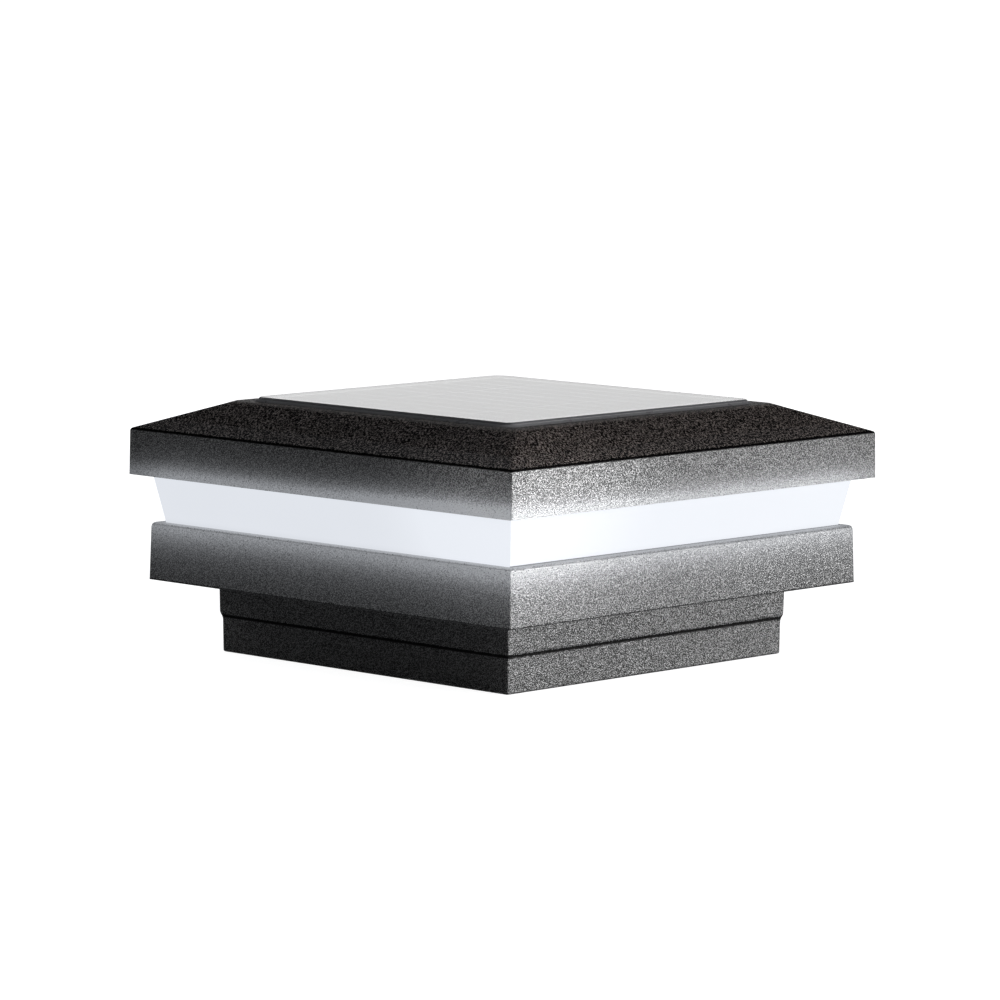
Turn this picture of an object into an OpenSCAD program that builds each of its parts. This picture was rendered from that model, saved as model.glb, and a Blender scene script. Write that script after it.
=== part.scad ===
// Solar post cap light for a square deck post, in millimetres.
// The origin is at the centre of the skirt's lower edge, and +Z points up.
// A roof casting, an opal band and a base casting are stacked and pulled
// together by four long screws that are driven from the well under the deck.

/* [Post socket] */
// Actual width of the square post that the skirt drops over
post_w = 88.9; // [86:0.1:92]
// Gap between the post and the skirt on each side
post_gap = 1.2; // [0.6:0.1:2.5]
// Wall of the skirt at its lower edge
skirt_wall = 1.9; // [1.5:0.1:3]
// Height of the skirt below the tray, which is also how deep the post goes in
skirt_h = 17.5; // [12:0.5:30]
// Height of the small step around the skirt
step_z = 8.5; // [5:0.1:10]
// Height of the step's slanted face
step_h = 0.9; // [0.5:0.1:1.5]
// How far the skirt stands out above the step
step_out = 0.5; // [0.2:0.1:1]
// How much wider the skirt grows towards its top, each side and each part
skirt_draft = 0.12; // [0:0.01:0.3]
// Width of the ledge that the post's end stops against
seat_w = 3; // [2:0.1:4]

/* [Tray] */
// Height of the tray's wall
tray_h = 13.95; // [10:0.05:20]
// How far the roof's rim stands out past the tray's lower edge, each side
tray_inset = 3.4; // [1:0.1:6]
// How much narrower the tray is at its top, each side
tray_draft = 0.32; // [0:0.01:0.8]
// Size of the broken upper edge of the tray
tray_edge = 0.6; // [0.3:0.1:1.2]
// Thickness of the deck on top of the tray
deck_t = 2.2; // [2:0.1:3.5]
// Wall of both castings
cast_wall = 2.2; // [1.8:0.1:3]
// Thickness of the stiffening ribs in both castings
rib_t = 2; // [1.2:0.1:3]
// Corner radius of the castings' upright edges
edge_r = 0.5; // [0.2:0.1:1.2]

/* [Lit band] */
// Height of the band that shows between tray and rim
band_h = 11.45; // [8:0.05:16]
// Width of the ledge in front of the band's foot
ledge_w = 2.5; // [1.5:0.1:4]
// How much wider the band is at the rim than at its foot, each side
band_flare = 2.2; // [0.5:0.1:2.4]
// Wall of the opal diffuser
diffuser_wall = 2.5; // [1.8:0.1:3]
// How far the diffuser goes up behind the rim
tongue_h = 6.5; // [5:0.1:7.5]
// Depth of the groove in the deck that holds the diffuser's foot
groove_d = 1; // [0.8:0.1:1.4]
// Thickness of the lower gasket
foot_gasket_t = 0.6; // [0.4:0.1:0.7]
// Thickness of the upper gasket, a soft foam
head_gasket_t = 1.2; // [0.8:0.1:2]
// Clearance beside the diffuser in its groove and channel
diffuser_gap = 0.3; // [0.2:0.05:0.5]

/* [Cap roof] */
// Width of the cap across its rim's lower edge, the widest place
cap_w = 127; // [122:0.5:140]
// Height of the near upright rim
rim_h = 11.1; // [10:0.1:16]
// How much narrower the rim is at its top, each side
rim_draft = 0.13; // [0:0.01:0.4]
// Height of the sloped roof between the rim and the land round the panel
roof_rise = 6.7; // [6:0.1:10]
// Width of the flat land round the solar panel
land_w = 3.4; // [2:0.1:5]
// Radius of the roof's hips where they reach the land
land_r = 3; // [1:0.1:5]
// Stiffening ribs under each side of the roof and in each side of the tray
ribs_per_side = 3; // [1:1:5]

/* [Solar panel] */
// Width of the square solar panel
panel_w = 84.7; // [78:0.1:88]
// Thickness of the panel's glass
glass_t = 3.2; // [2:0.1:4]
// How far the glass stands above the land
glass_stand = 1; // [0.3:0.05:1.4]
// Corner radius of the panel
panel_r = 3; // [1:0.1:6]
// Broken edge round the top of the glass
glass_edge = 0.4; // [0.2:0.1:0.8]
// Gap round the panel that the sealant fills
seal_gap = 0.55; // [0.3:0.05:1]
// Height of the sealant bead above the land
bead_h = 0.5; // [0.2:0.1:0.8]
// Thickness of the solar cells
cell_t = 0.3; // [0.2:0.1:0.5]
// Number of cell strips side by side
strip_count = 11; // [6:1:12]
// Gap between neighbouring strips
strip_gap = 0.8; // [0.4:0.1:1.5]
// Bare border of the panel round its cells
panel_border = 4.5; // [3:0.1:7]
// Thickness of the panel's backsheet
backsheet_t = 1.2; // [0.8:0.1:2]
// Hole for the panel's leads
lead_hole_d = 11; // [9:0.5:14]

/* [Light core] */
// Width of the square light core
core_w = 82; // [78:0.5:86]
// Wall of the light core
core_wall = 2; // [1.5:0.1:2.5]
// Radius of the core's upright edges
core_r = 3; // [2:0.1:4]
// Thickness of the core's floor, a white flange that reaches the band
core_floor_t = 1.8; // [1.2:0.1:2.5]
// Gap between the core's top and the panel pocket
core_top_gap = 0.8; // [0.4:0.1:1.5]
// Gap between the core's floor and the diffuser
floor_gap = 0.6; // [0.3:0.1:1.5]
// Gap between the roof's bosses and the core's walls
boss_gap = 0.5; // [0.3:0.1:1]
// Height of the core's screw tubes above the deck
tube_h = 10.5; // [8:0.5:14]
// Outer diameter of the screw tubes and of the roof's bosses
tube_d = 8.5; // [7:0.1:9]

/* [Fasteners] */
// Diameter of the long screws
screw_d = 3.9; // [3:0.1:4.2]
// How deep the long screws go into the roof's bosses
screw_bite = 9; // [6:0.5:10]
// Head diameter of the long screws
screw_head_d = 7.4; // [6:0.1:8]
// Head height of the long screws
screw_head_h = 2.4; // [1.5:0.1:3]
// Thickness of the sealing washers
washer_t = 0.8; // [0.5:0.1:1.2]
// Radial clearance of a screw in a through hole
hole_gap = 0.25; // [0.15:0.05:0.5]
// Radial clearance of a screw in its pilot hole
pilot_gap = 0.05; // [0.02:0.01:0.1]
// Diameter of the battery door's screws
door_screw_d = 2.9; // [2.5:0.1:3]
// Length of the battery door's screws
door_screw_l = 12; // [9:0.5:14]
// Diameter of the small screws that hold the control board
board_screw_d = 2; // [1.6:0.1:2.4]

/* [Battery] */
// Diameter of the cell
cell_d = 14.2; // [13.8:0.1:14.5]
// Length of the cell with its button
cell_l = 50; // [48:0.1:51]
// Length of the contact spring when the cell is in
spring_l = 5; // [4:0.1:7]
// Turns of the contact spring
spring_turns = 4; // [3:0.5:5]
// Wire of the contact spring
spring_wire = 0.7; // [0.5:0.1:0.8]
// Thickness of the contact plates
contact_t = 0.4; // [0.3:0.1:0.6]
// Gap between the cell and the bay's walls
bay_gap = 0.5; // [0.3:0.1:1]
// Wall of the battery bay
bay_wall = 1.5; // [1.2:0.1:2]
// Distance of the battery bay's axis from the middle, towards -Y
bay_y = 18; // [17.4:0.1:18.6]
// Thickness of the battery door
door_t = 2.2; // [1.8:0.1:3]
// Thickness of the battery door's gasket
door_gasket_t = 0.8; // [0.5:0.1:1.2]
// Clearance between the door's frame and the deck's opening
door_gap = 0.4; // [0.3:0.05:0.8]
// Width of the door's rim outside the deck's opening
door_rim = 3; // [2.4:0.1:3.3]

/* [Switch] */
// Travel of the on and off switch
switch_travel = 3; // [2:0.5:4]
// Length, width and height of the switch body
switch_size = [12, 6, 3.8];
// Length and width of the finger piece
knob_size = [2.8, 2.4];
// How far the finger piece stands out under the deck
knob_out = 1.1; // [0.5:0.1:2]
// Place of the switch in plan
switch_pos = [8, 14];
// Clearance round the finger piece
knob_gap = 0.4; // [0.3:0.05:0.6]

/* [Electronics] */
// Length, width and thickness of the control board
board_size = [56, 40, 1.6];
// Gap between the control board and the wall of the battery bay
board_gap = 0.9; // [0.6:0.1:1.9]
// Distance of the board's screws from its edges
board_hole_inset = 4; // [3.5:0.1:6]
// Length and height of each LED board
led_board_l = 60; // [50:1:64]
led_board_h = 9; // [6:0.5:10]
// Thickness of each LED board
led_board_t = 1; // [0.8:0.1:1.6]
// Height of the LED boards' middle above the deck
led_z = 7.5; // [7:0.1:9]
// LEDs on each board
leds_per_board = 4; // [2:1:8]
// Length, height and thickness of one LED
led_size = [3.5, 2.8, 1.2];
// Diameter of the leads
lead_d = 1.3; // [1:0.1:1.5]

/* [Hidden] */
$fn = 48;

// Overshoot of a cut past the face that it opens
eps = 0.5;
// Thickness of the thin sheets that hulls are drawn over
sheet = 0.01;

// Heights, from the skirt's lower edge upwards
z_seat = skirt_h;
z_deck = z_seat + tray_h;
z_deck_under = z_deck - deck_t;
z_rim = z_deck + band_h;
z_eave = z_rim + rim_h;
z_land = z_eave + roof_rise;
z_glass = z_land + glass_stand;
z_cells_top = z_glass - glass_t;
z_cells = z_cells_top - cell_t;
z_pocket = z_cells - backsheet_t;
z_pan = z_pocket - cast_wall;

// Half widths of the outer form
rim_half = cap_w / 2;
eave_half = rim_half - rim_draft;
panel_half = panel_w / 2;
pocket_half = panel_half + seal_gap;
pocket_r = panel_r + seal_gap;
land_half = pocket_half + land_w;
tray_half = rim_half - tray_inset;
tray_top_half = tray_half - tray_draft;
socket_half = post_w / 2 + post_gap;
skirt_half = socket_half + skirt_wall;
step_half = skirt_half + skirt_draft;
shelf_half = step_half + step_out + skirt_draft;
well_half = socket_half - seat_w;
well_wall = cast_wall + 0.2;
tray_rib_lift = 3;

// The roof's slope and the depth of its wall measured straight down
roof_slope = roof_rise / (eave_half - land_half);
roof_wall_z = cast_wall * sqrt(1 + roof_slope * roof_slope);
function roof_under(half) = z_eave + (eave_half - half) * roof_slope - roof_wall_z;

// The diffuser, which leans out towards its top
foot_half = tray_top_half - ledge_w;
flare = band_flare / band_h;
function band_half(z) = foot_half + (z - z_deck) * flare;
z_foot = z_deck - groove_d + foot_gasket_t;
z_head = z_rim + tongue_h;
z_channel = z_head + head_gasket_t;
groove_out = band_half(z_deck) + diffuser_gap;
groove_in = band_half(z_foot) - diffuser_wall - diffuser_gap;

// The roof's channel for the diffuser, between the rim and a rib inside it
rim_in_half = rim_half - cast_wall;
lip_depth = 2.5;
z_lip = z_head - lip_depth;
lip_out = band_half(z_lip) - diffuser_wall - diffuser_gap;
lip_in = lip_out - rib_t;
pan_half = pocket_half + cast_wall;

// The light core and its four screws
core_half = core_w / 2;
core_in = core_half - core_wall;
z_floor = z_deck + core_floor_t;
z_core_top = z_pan - core_top_gap;
floor_half = band_half(z_deck) - diffuser_wall - floor_gap;
screw_at = core_in - tube_d / 2 - boss_gap;
screw_r = screw_d / 2;
z_tube = z_deck + tube_h;
z_screw_tip = z_tube + screw_bite;
z_washer = z_deck_under - washer_t;

// The battery bay, with the cell along X
bay_half_l = (cell_l + spring_l) / 2 + contact_t;
bay_half_w = cell_d / 2 + bay_gap;
cell_lift = 0.9;
cell_button = [5.5, 1.2];
cell_round = 0.6;
z_cell = z_deck + cell_lift + cell_d / 2;
z_bay_top = z_cell + cell_d / 2 + bay_gap;
cell_end = bay_half_l - contact_t;
cell_start = cell_end - cell_l;
tab_h = 1.2;
tab_w = 3;

// The battery door and its screws
door_pillar_r = 3;
door_screw_x = bay_half_l + bay_wall + door_pillar_r;
opening_half_l = bay_half_l + 0.6;
opening_half_w = bay_half_w + 0.6;
door_half_l = door_screw_x + door_pillar_r + 0.8;
door_half_w = opening_half_w + door_rim;
door_corner_r = 3;
z_door_top = z_deck_under - door_gasket_t;
z_door = z_door_top - door_t;
door_screw_r = door_screw_d / 2;
countersink_h = 1.6;
grip_size = [1.2, 12];
grip_depth = 0.6;
grip_pitch = 3;
gasket_inset = 0.5;
door_head_r = door_screw_r + countersink_h;

// The control board on its four standoffs, with the switch below it
board_y = bay_half_w + bay_wall + board_gap + board_size.y / 2 - bay_y;
z_board = z_floor + switch_size.z;
z_board_top = z_board + board_size.z;
board_hole_x = board_size.x / 2 - board_hole_inset;
board_hole_y = board_size.y / 2 - board_hole_inset;
board_screw_r = board_screw_d / 2;
standoff_r = 2.6;
board_screw_l = 5;
knob_half_l = knob_size.x / 2;
slot_l = knob_size.x + switch_travel + 2 * knob_gap;
slot_w = knob_size.y + 2 * knob_gap;
slider_plate = [6, 3.4, 1];
slider_lift = 0.3;
knob_x = switch_pos.x + switch_travel / 2;

// The LED boards on the core's four sides
led_board_z = z_deck + led_z;
led_pitch = led_board_l / leds_per_board;
jumper_d = 1;
jumper_rise = 2.2;
board_ledge = [4, 1.2];
notch_depth = 4;

// The parts on the control board, placed from its middle
chip_size = [10, 6, 1.8];
chip_at = [-2, 2];
inductor_size = [8, 5];
inductor_at = [-16, -7];
capacitor_size = [6.4, 8];
capacitor_at = [19, -3];
resistor_size = [2, 1.25, 0.55];
resistors_at = [[-8, -4], [-8, -7], [-8, -10], [9, 6], [9, 3], [9, 0]];
connector_size = [6.5, 4.5, 5];
battery_plug_at = [2, -14];
panel_plug_at = [-13, 13];
led_plug_at = [12, 13];
lead_pitch = 2.5;
z_plug = z_board_top + connector_size.z;
lead_r = lead_d / 2;

// Hand chosen middle points of the leads' routes, each counted from its own start point
notch_x = board_hole_x / 2;
panel_route_start = [0, board_y, z_core_top];
panel_route = [[-4, 2, -4], [-9, 7, -6.5]];
led_route_start = [notch_x, core_half, z_core_top];
led_route = [[0, -1, -2.1], [0, -8, -4.5]];
battery_route_start = [0, -bay_y, z_core_top];
battery_route = [[21, 4, -2.2], [12, 10, -2.8], [5, 14.5, -5]];
battery_route_reach = 30;

// A square block about the Z axis, from z0 up to z1
module block(half, z0, z1) {
    translate([-half, -half, z0])
        cube([2 * half, 2 * half, z1 - z0]);
}

// A box with its middle at xy in plan, from z0 up to z1
module box_at(xy, size, z0, z1) {
    translate([xy.x - size.x / 2, xy.y - size.y / 2, z0])
        cube([size.x, size.y, z1 - z0]);
}

// A rectangle with round corners, as plain squares and circles
module rounded_rect(size, r) {
    square([size.x - 2 * r, size.y], center = true);
    square([size.x, size.y - 2 * r], center = true);
    for (x = [-1, 1], y = [-1, 1])
        translate([x * (size.x / 2 - r), y * (size.y / 2 - r)])
            circle(r);
}

// An upright block with round corners, from z0 up to z1
module rounded_block(size, r, z0, z1) {
    translate([0, 0, z0])
        linear_extrude(z1 - z0)
            rounded_rect(size, r);
}

// A square block whose flat sides lean from half0 at z0 to half1 at z1
module leaning_block(half0, half1, z0, z1) {
    trapezoid = [[-half0, z0], [half0, z0], [half1, z1], [-half1, z1]];
    depth = 2 * max(half0, half1) + 2;
    intersection() {
        rotate([90, 0, 0])
            linear_extrude(depth, center = true)
                polygon(trapezoid);
        rotate([90, 0, 90])
            linear_extrude(depth, center = true)
                polygon(trapezoid);
    }
}

// A thin square sheet with round corners and its top at z, which hulls are drawn over
module outline(half, r, z) {
    translate([0, 0, z - sheet])
        linear_extrude(sheet)
            rounded_rect([2 * half, 2 * half], r, $fn = 32);
}

// Puts the same thing at the four long screws
module at_screws() {
    for (x = [-1, 1], y = [-1, 1])
        translate([x * screw_at, y * screw_at, 0])
            children();
}

// Puts the same thing at the battery door's two screws
module at_door_screws() {
    for (x = [-1, 1])
        translate([x * door_screw_x, -bay_y, 0])
            children();
}

// Puts the same thing at the control board's four screws
module at_board_screws() {
    for (x = [-1, 1], y = [-1, 1])
        translate([x * board_hole_x, board_y + y * board_hole_y, 0])
            children();
}

// Puts the same thing on the four sides, drawn for the +Y side
module on_four_sides() {
    for (turn = [0:90:270])
        rotate([0, 0, turn])
            children();
}

// Places of the stiffening ribs along one side of length 2 * half
function rib_places(half) =
    [for (i = [1:ribs_per_side]) -half + i * 2 * half / (ribs_per_side + 1)];

// A smooth curve through the points, with a few steps between each two
function spline_point(a, b, c, d, t) =
    0.5 * (2 * b + (c - a) * t + (2 * a - 5 * b + 4 * c - d) * t * t
           + (3 * b - a - 3 * c + d) * t * t * t);
function smooth_path(p, steps) =
    let (last = len(p) - 1)
    concat([for (i = [0:last - 1], s = [0:steps - 1])
                spline_point(p[max(i - 1, 0)], p[i], p[i + 1], p[min(i + 2, last)], s / steps)],
           [p[last]]);

// Directions along a path, and side directions that never twist about it
function unit(v) = v / norm(v);
function headings(p) =
    [for (i = [0:len(p) - 1]) unit(p[min(i + 1, len(p) - 1)] - p[max(i - 1, 0)])];
function square_to(u, t) = unit(u - t * (u * t));
function sides_of(t) =
    [for (i = 0, u = square_to(abs(t[0].z) < 0.9 ? [0, 0, 1] : [1, 0, 0], t[0]);
          i < len(t);
          i = i + 1, u = i < len(t) ? square_to(u, t[i]) : u)
        u];

// A closed tube of radius r along a path
module tube(path, r, sides) {
    t = headings(path);
    u = sides_of(t);
    rings = len(path);
    points = [for (i = [0:rings - 1], k = [0:sides - 1])
                 let (a = 360 * k / sides)
                 path[i] + r * (cos(a) * u[i] + sin(a) * cross(t[i], u[i]))];
    walls = [for (i = [0:rings - 2], k = [0:sides - 1])
                let (a = i * sides + k, b = i * sides + (k + 1) % sides)
                each [[a, b + sides, b], [a, a + sides, b + sides]]];
    first = [for (k = [1:sides - 2]) [0, k, k + 1]];
    last = [for (k = [1:sides - 2])
               let (a = (rings - 1) * sides)
               [a, a + k + 1, a + k]];
    polyhedron(points, concat(walls, first, last), convexity = 6);
}

// The contact spring's wire, a cone of turns from its plate to the cell
spring_base_r = 4.4;
spring_tip_r = 2.6;
spring_steps = 16;
spring_start = -cell_end + spring_wire / 2;
spring_end = cell_start - spring_wire / 2;
function spring_point(s) =
    let (a = 360 * spring_turns * s, r = spring_base_r + (spring_tip_r - spring_base_r) * s)
    [spring_start + (spring_end - spring_start) * s, -bay_y + r * cos(a), z_cell + r * sin(a)];
spring_path = [for (i = [0:spring_turns * spring_steps])
                  spring_point(i / (spring_turns * spring_steps))];
spring_least_gap = min([for (i = [0:len(spring_path) - 1 - spring_steps / 2])
                           for (j = [i + spring_steps / 2:len(spring_path) - 1])
                               norm(spring_path[i] - spring_path[j])]) - spring_wire;
echo(spring_least_gap = spring_least_gap);

// Roof: rim, sloped sides, panel pocket, diffuser channel, bosses and ribs
module roof_casting() {
    color([0.13, 0.12, 0.12])
    difference() {
        hull() {
            outline(rim_half, edge_r, z_rim + sheet);
            outline(eave_half, edge_r, z_eave);
            outline(land_half, land_r, z_land);
        }
        difference() {
            union() {
                block(rim_in_half, z_rim - eps, z_channel);
                block(lip_in, z_channel - eps, roof_under(lip_in));
                leaning_block(lip_in, pan_half, roof_under(lip_in) - 0.01, roof_under(pan_half));
            }
            roof_inside();
        }
        rounded_block([2 * pocket_half, 2 * pocket_half], pocket_r, z_pocket, z_land + eps);
        translate([0, board_y, z_pan - eps])
            cylinder(d = lead_hole_d, h = cast_wall + 2 * eps);
        at_screws()
            translate([0, 0, z_tube - eps])
                cylinder(r = screw_r + pilot_gap, h = screw_bite + 1 + eps);
    }
}

// What stands inside the roof's hollow
module roof_inside() {
    difference() {
        block(lip_out, z_lip, z_channel + eps);
        block(lip_in, z_lip - eps, z_channel + 2 * eps);
    }
    block(pan_half, z_pan, z_land);
    at_screws()
        translate([0, 0, z_tube])
            cylinder(d = tube_d, h = z_pan - z_tube + eps);
    on_four_sides()
        for (x = rib_places(pan_half))
            translate([x - rib_t / 2, pan_half - eps, z_lip + 1])
                cube([rib_t, lip_out - pan_half, z_land - z_lip]);
}

module solar_glass() {
    color([0.80, 0.83, 0.86, 0.5])
    difference() {
        rounded_block([panel_w, panel_w], panel_r, z_cells_top, z_glass);
        difference() {
            block(panel_half + eps, z_glass - glass_edge, z_glass + eps);
            hull() {
                outline(panel_half, panel_r, z_glass - glass_edge);
                outline(panel_half - glass_edge, panel_r - glass_edge, z_glass);
            }
        }
    }
}

// Sealant in the gap round the panel, with a slanted bead against the glass
module panel_seal() {
    color([0.05, 0.05, 0.05])
    difference() {
        union() {
            rounded_block([2 * pocket_half, 2 * pocket_half], pocket_r, z_pocket, z_land);
            hull() {
                outline(pocket_half + 0.3, pocket_r, z_land + sheet);
                outline(panel_half + 0.2, panel_r + 0.2, z_land + bead_h);
            }
        }
        rounded_block([panel_w, panel_w], panel_r, z_pocket - eps, z_glass + eps);
    }
}

module solar_cells() {
    area = panel_w - 2 * panel_border;
    pitch = (area + strip_gap) / strip_count;
    color([0.06, 0.07, 0.12])
    for (i = [0:strip_count - 1])
        box_at([-area / 2 + (pitch - strip_gap) / 2 + i * pitch, 0],
               [pitch - strip_gap, area], z_cells, z_cells_top);
}

module panel_backsheet() {
    color([0.10, 0.10, 0.11])
    rounded_block([panel_w, panel_w], panel_r, z_pocket, z_cells);
}

// Opal ring that leans outwards, with its foot in the deck and its head in the roof
module diffuser() {
    color([0.93, 0.96, 1.0])
    difference() {
        leaning_block(band_half(z_foot), band_half(z_head), z_foot, z_head);
        leaning_block(band_half(z_foot - eps) - diffuser_wall,
                      band_half(z_head + eps) - diffuser_wall,
                      z_foot - eps, z_head + eps);
    }
}

module upper_gasket() {
    color([0.15, 0.15, 0.16])
    difference() {
        block(rim_in_half - diffuser_gap, z_head, z_channel);
        block(lip_out + diffuser_gap, z_head - eps, z_channel + eps);
    }
}

module lower_gasket() {
    color([0.15, 0.15, 0.16])
    difference() {
        block(groove_out - 0.1, z_deck - groove_d, z_foot);
        block(groove_in + 0.1, z_deck - groove_d - eps, z_foot + eps);
    }
}

// Deck and tray wall, the well under the deck, the post's seat and the skirt
module base_casting() {
    color([0.16, 0.16, 0.17])
    difference() {
        union() {
            difference() {
                hull() {
                    outline(tray_half, edge_r, z_seat + sheet);
                    outline(tray_top_half, edge_r, z_deck - tray_edge);
                    outline(tray_top_half - tray_edge, edge_r, z_deck);
                }
                leaning_block(tray_half - cast_wall, tray_top_half - cast_wall,
                              z_seat - eps, z_deck_under);
            }
            block(well_half + well_wall, z_seat, z_deck_under);
            block(shelf_half, z_seat, z_seat + cast_wall);
            leaning_block(shelf_half - skirt_draft, shelf_half, step_z + step_h, z_seat);
            leaning_block(step_half, step_half + step_out, step_z, step_z + step_h);
            leaning_block(skirt_half, step_half, 0, step_z);
            tray_ribs();
        }
        block(socket_half, -eps, z_seat);
        block(well_half, z_seat - eps, z_deck_under);
        deck_openings();
    }
}

// Ribs between the well and the tray's wall, which stay clear of the tray's lower edge
module tray_ribs() {
    start = well_half + well_wall - eps;
    finish = tray_top_half - cast_wall / 2;
    on_four_sides()
        for (x = rib_places(well_half))
            translate([x - rib_t / 2, start, z_seat + tray_rib_lift])
                cube([rib_t, finish - start, z_deck_under - z_seat - tray_rib_lift]);
}

// The groove for the diffuser, and the ways through the deck
module deck_openings() {
    difference() {
        block(groove_out, z_deck - groove_d, z_deck + eps);
        block(groove_in, z_deck - groove_d - eps, z_deck + 2 * eps);
    }
    box_at([0, -bay_y], [2 * opening_half_l, 2 * opening_half_w],
           z_deck_under - eps, z_deck + eps);
    box_at(switch_pos, [slot_l, slot_w], z_deck_under - eps, z_deck + eps);
    at_screws()
        translate([0, 0, z_deck_under - eps])
            cylinder(r = screw_r + hole_gap, h = deck_t + 2 * eps);
    at_door_screws()
        translate([0, 0, z_deck_under - eps])
            cylinder(r = door_screw_r + hole_gap, h = deck_t + 2 * eps);
}

// White inner housing: floor, walls, battery bay, screw tubes and standoffs
module light_core() {
    color([0.90, 0.91, 0.92])
    difference() {
        union() {
            block(floor_half, z_deck, z_floor);
            difference() {
                rounded_block([core_w, core_w], core_r, z_floor, z_core_top);
                block(core_in, z_floor, z_core_top + eps);
            }
            box_at([0, -bay_y], [2 * (bay_half_l + bay_wall), 2 * (bay_half_w + bay_wall)],
                   z_floor, z_bay_top + bay_wall);
            at_screws()
                translate([0, 0, z_floor])
                    cylinder(d = tube_d, h = z_tube - z_floor);
            tube_webs();
            at_door_screws()
                translate([0, 0, z_floor])
                    cylinder(r = door_pillar_r, h = door_screw_l);
            at_board_screws()
                translate([0, 0, z_floor])
                    cylinder(r = standoff_r, h = z_board - z_floor);
            board_ledges();
        }
        box_at([0, -bay_y], [2 * bay_half_l, 2 * bay_half_w], z_deck - eps, z_bay_top);
        tab_slots();
        lead_notch();
        box_at(switch_pos, [slot_l, slot_w], z_deck - eps, z_floor + eps);
        at_screws()
            translate([0, 0, z_deck - eps])
                cylinder(r = screw_r + hole_gap, h = tube_h + 2 * eps);
        at_door_screws()
            translate([0, 0, z_deck - eps])
                cylinder(r = door_screw_r + 0.1, h = door_screw_l + eps);
        at_board_screws()
            translate([0, 0, z_board - board_screw_l])
                cylinder(r = board_screw_r + pilot_gap, h = board_screw_l + eps);
    }
}

// Webs that tie the screw tubes to the core's walls
module tube_webs() {
    reach = core_in - screw_at + eps;
    for (turn = [0:90:270])
        rotate([0, 0, turn])
            translate([0, 0, z_floor])
                for (flip = [0, 1])
                    mirror([flip, -flip, 0])
                        translate([screw_at, screw_at - rib_t / 2, 0])
                            cube([reach, rib_t, z_tube - z_floor]);
}

// Small ledges that the LED boards stand on
module board_ledges() {
    on_four_sides()
        for (x = [-1, 1])
            translate([x * led_board_l / 3 - board_ledge[0] / 2, core_half - eps,
                       led_board_z - led_board_h / 2 - board_ledge[1]])
                cube([board_ledge[0], led_board_t + eps, board_ledge[1]]);
}

// Slots in the bay's ceiling for the contact plates' tabs
module tab_slots() {
    for (x = [-1, 1])
        box_at([x * (bay_half_l - contact_t / 2 - 0.1), -bay_y],
               [contact_t + 0.4, tab_w + 0.6], z_bay_top - eps, z_bay_top + bay_wall + eps);
}

// Notch in the wall that the LED leads cross
module lead_notch() {
    box_at([notch_x, core_half - core_wall / 2],
           [3 * lead_pitch, core_wall + 4 * eps], z_core_top - notch_depth, z_core_top + eps);
}

module led_boards() {
    color([0.88, 0.90, 0.88])
    on_four_sides()
        translate([-led_board_l / 2, core_half, led_board_z - led_board_h / 2])
            cube([led_board_l, led_board_t, led_board_h]);
}

module leds() {
    color([0.98, 0.95, 0.70])
    on_four_sides()
        for (i = [0:leds_per_board - 1])
            translate([(i + 0.5) * led_pitch - led_board_l / 2 - led_size.x / 2,
                       core_half + led_board_t, led_board_z - led_size.y / 2])
                cube([led_size.x, led_size.z, led_size.y]);
}

// Pairs of short wires round three of the core's corners, from board to board
module led_jumpers() {
    slack = 0.1;
    off = core_half + jumper_d / 2 + slack;
    bend = core_r + jumper_d / 2 + slack;
    reach = off - bend;
    color([0.75, 0.15, 0.12])
    for (turn = [0:90:180], rise = [-1, 1])
        rotate([0, 0, turn])
            translate([0, 0, led_board_z + rise * jumper_rise]) {
                translate([led_board_l / 2, off, 0])
                    rotate([0, 90, 0])
                        cylinder(d = jumper_d, h = reach - led_board_l / 2);
                translate([reach, reach, 0])
                    rotate_extrude(angle = 90)
                        translate([bend, 0])
                            circle(d = jumper_d);
                translate([off, led_board_l / 2, 0])
                    rotate([-90, 0, 0])
                        cylinder(d = jumper_d, h = reach - led_board_l / 2);
            }
}

module control_board() {
    color([0.05, 0.35, 0.18])
    difference() {
        box_at([0, board_y], board_size, z_board, z_board_top);
        at_board_screws()
            translate([0, 0, z_board - eps])
                cylinder(r = board_screw_r + hole_gap, h = board_size.z + 2 * eps);
    }
}

module board_screws() {
    head_r = board_screw_d * 0.95;
    head_h = board_screw_d * 0.6;
    color([0.75, 0.75, 0.77])
    at_board_screws() {
        translate([0, 0, z_board_top])
            cylinder(r = head_r, h = head_h);
        translate([0, 0, z_board - board_screw_l + eps])
            cylinder(r = board_screw_r, h = z_board_top - z_board + board_screw_l - eps);
    }
}

module control_chip() {
    color([0.08, 0.08, 0.08])
    box_at([chip_at.x, board_y + chip_at.y], chip_size, z_board_top, z_board_top + chip_size.z);
}

// Drum shaped choke with a waist
module inductor() {
    r = inductor_size[0] / 2;
    h = inductor_size[1];
    flange = h / 5;
    color([0.25, 0.18, 0.12])
    translate([inductor_at.x, board_y + inductor_at.y, z_board_top])
        rotate_extrude()
            polygon([[0, 0], [r, 0], [r, flange], [r * 0.85, flange],
                     [r * 0.85, h - flange], [r, h - flange], [r, h], [0, h]]);
}

// Can capacitor with its rolled neck
module capacitor() {
    r = capacitor_size[0] / 2;
    h = capacitor_size[1];
    neck = h / 6;
    color([0.62, 0.64, 0.68])
    translate([capacitor_at.x, board_y + capacitor_at.y, z_board_top])
        rotate_extrude()
            polygon([[0, 0], [r, 0], [r, neck], [r * 0.92, 1.4 * neck],
                     [r, 1.8 * neck], [r, h - 0.4], [r - 0.4, h], [0, h]]);
}

module chip_resistors() {
    color([0.10, 0.10, 0.10])
    for (p = resistors_at)
        box_at([p.x, board_y + p.y], resistor_size, z_board_top, z_board_top + resistor_size.z);
}

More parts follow.
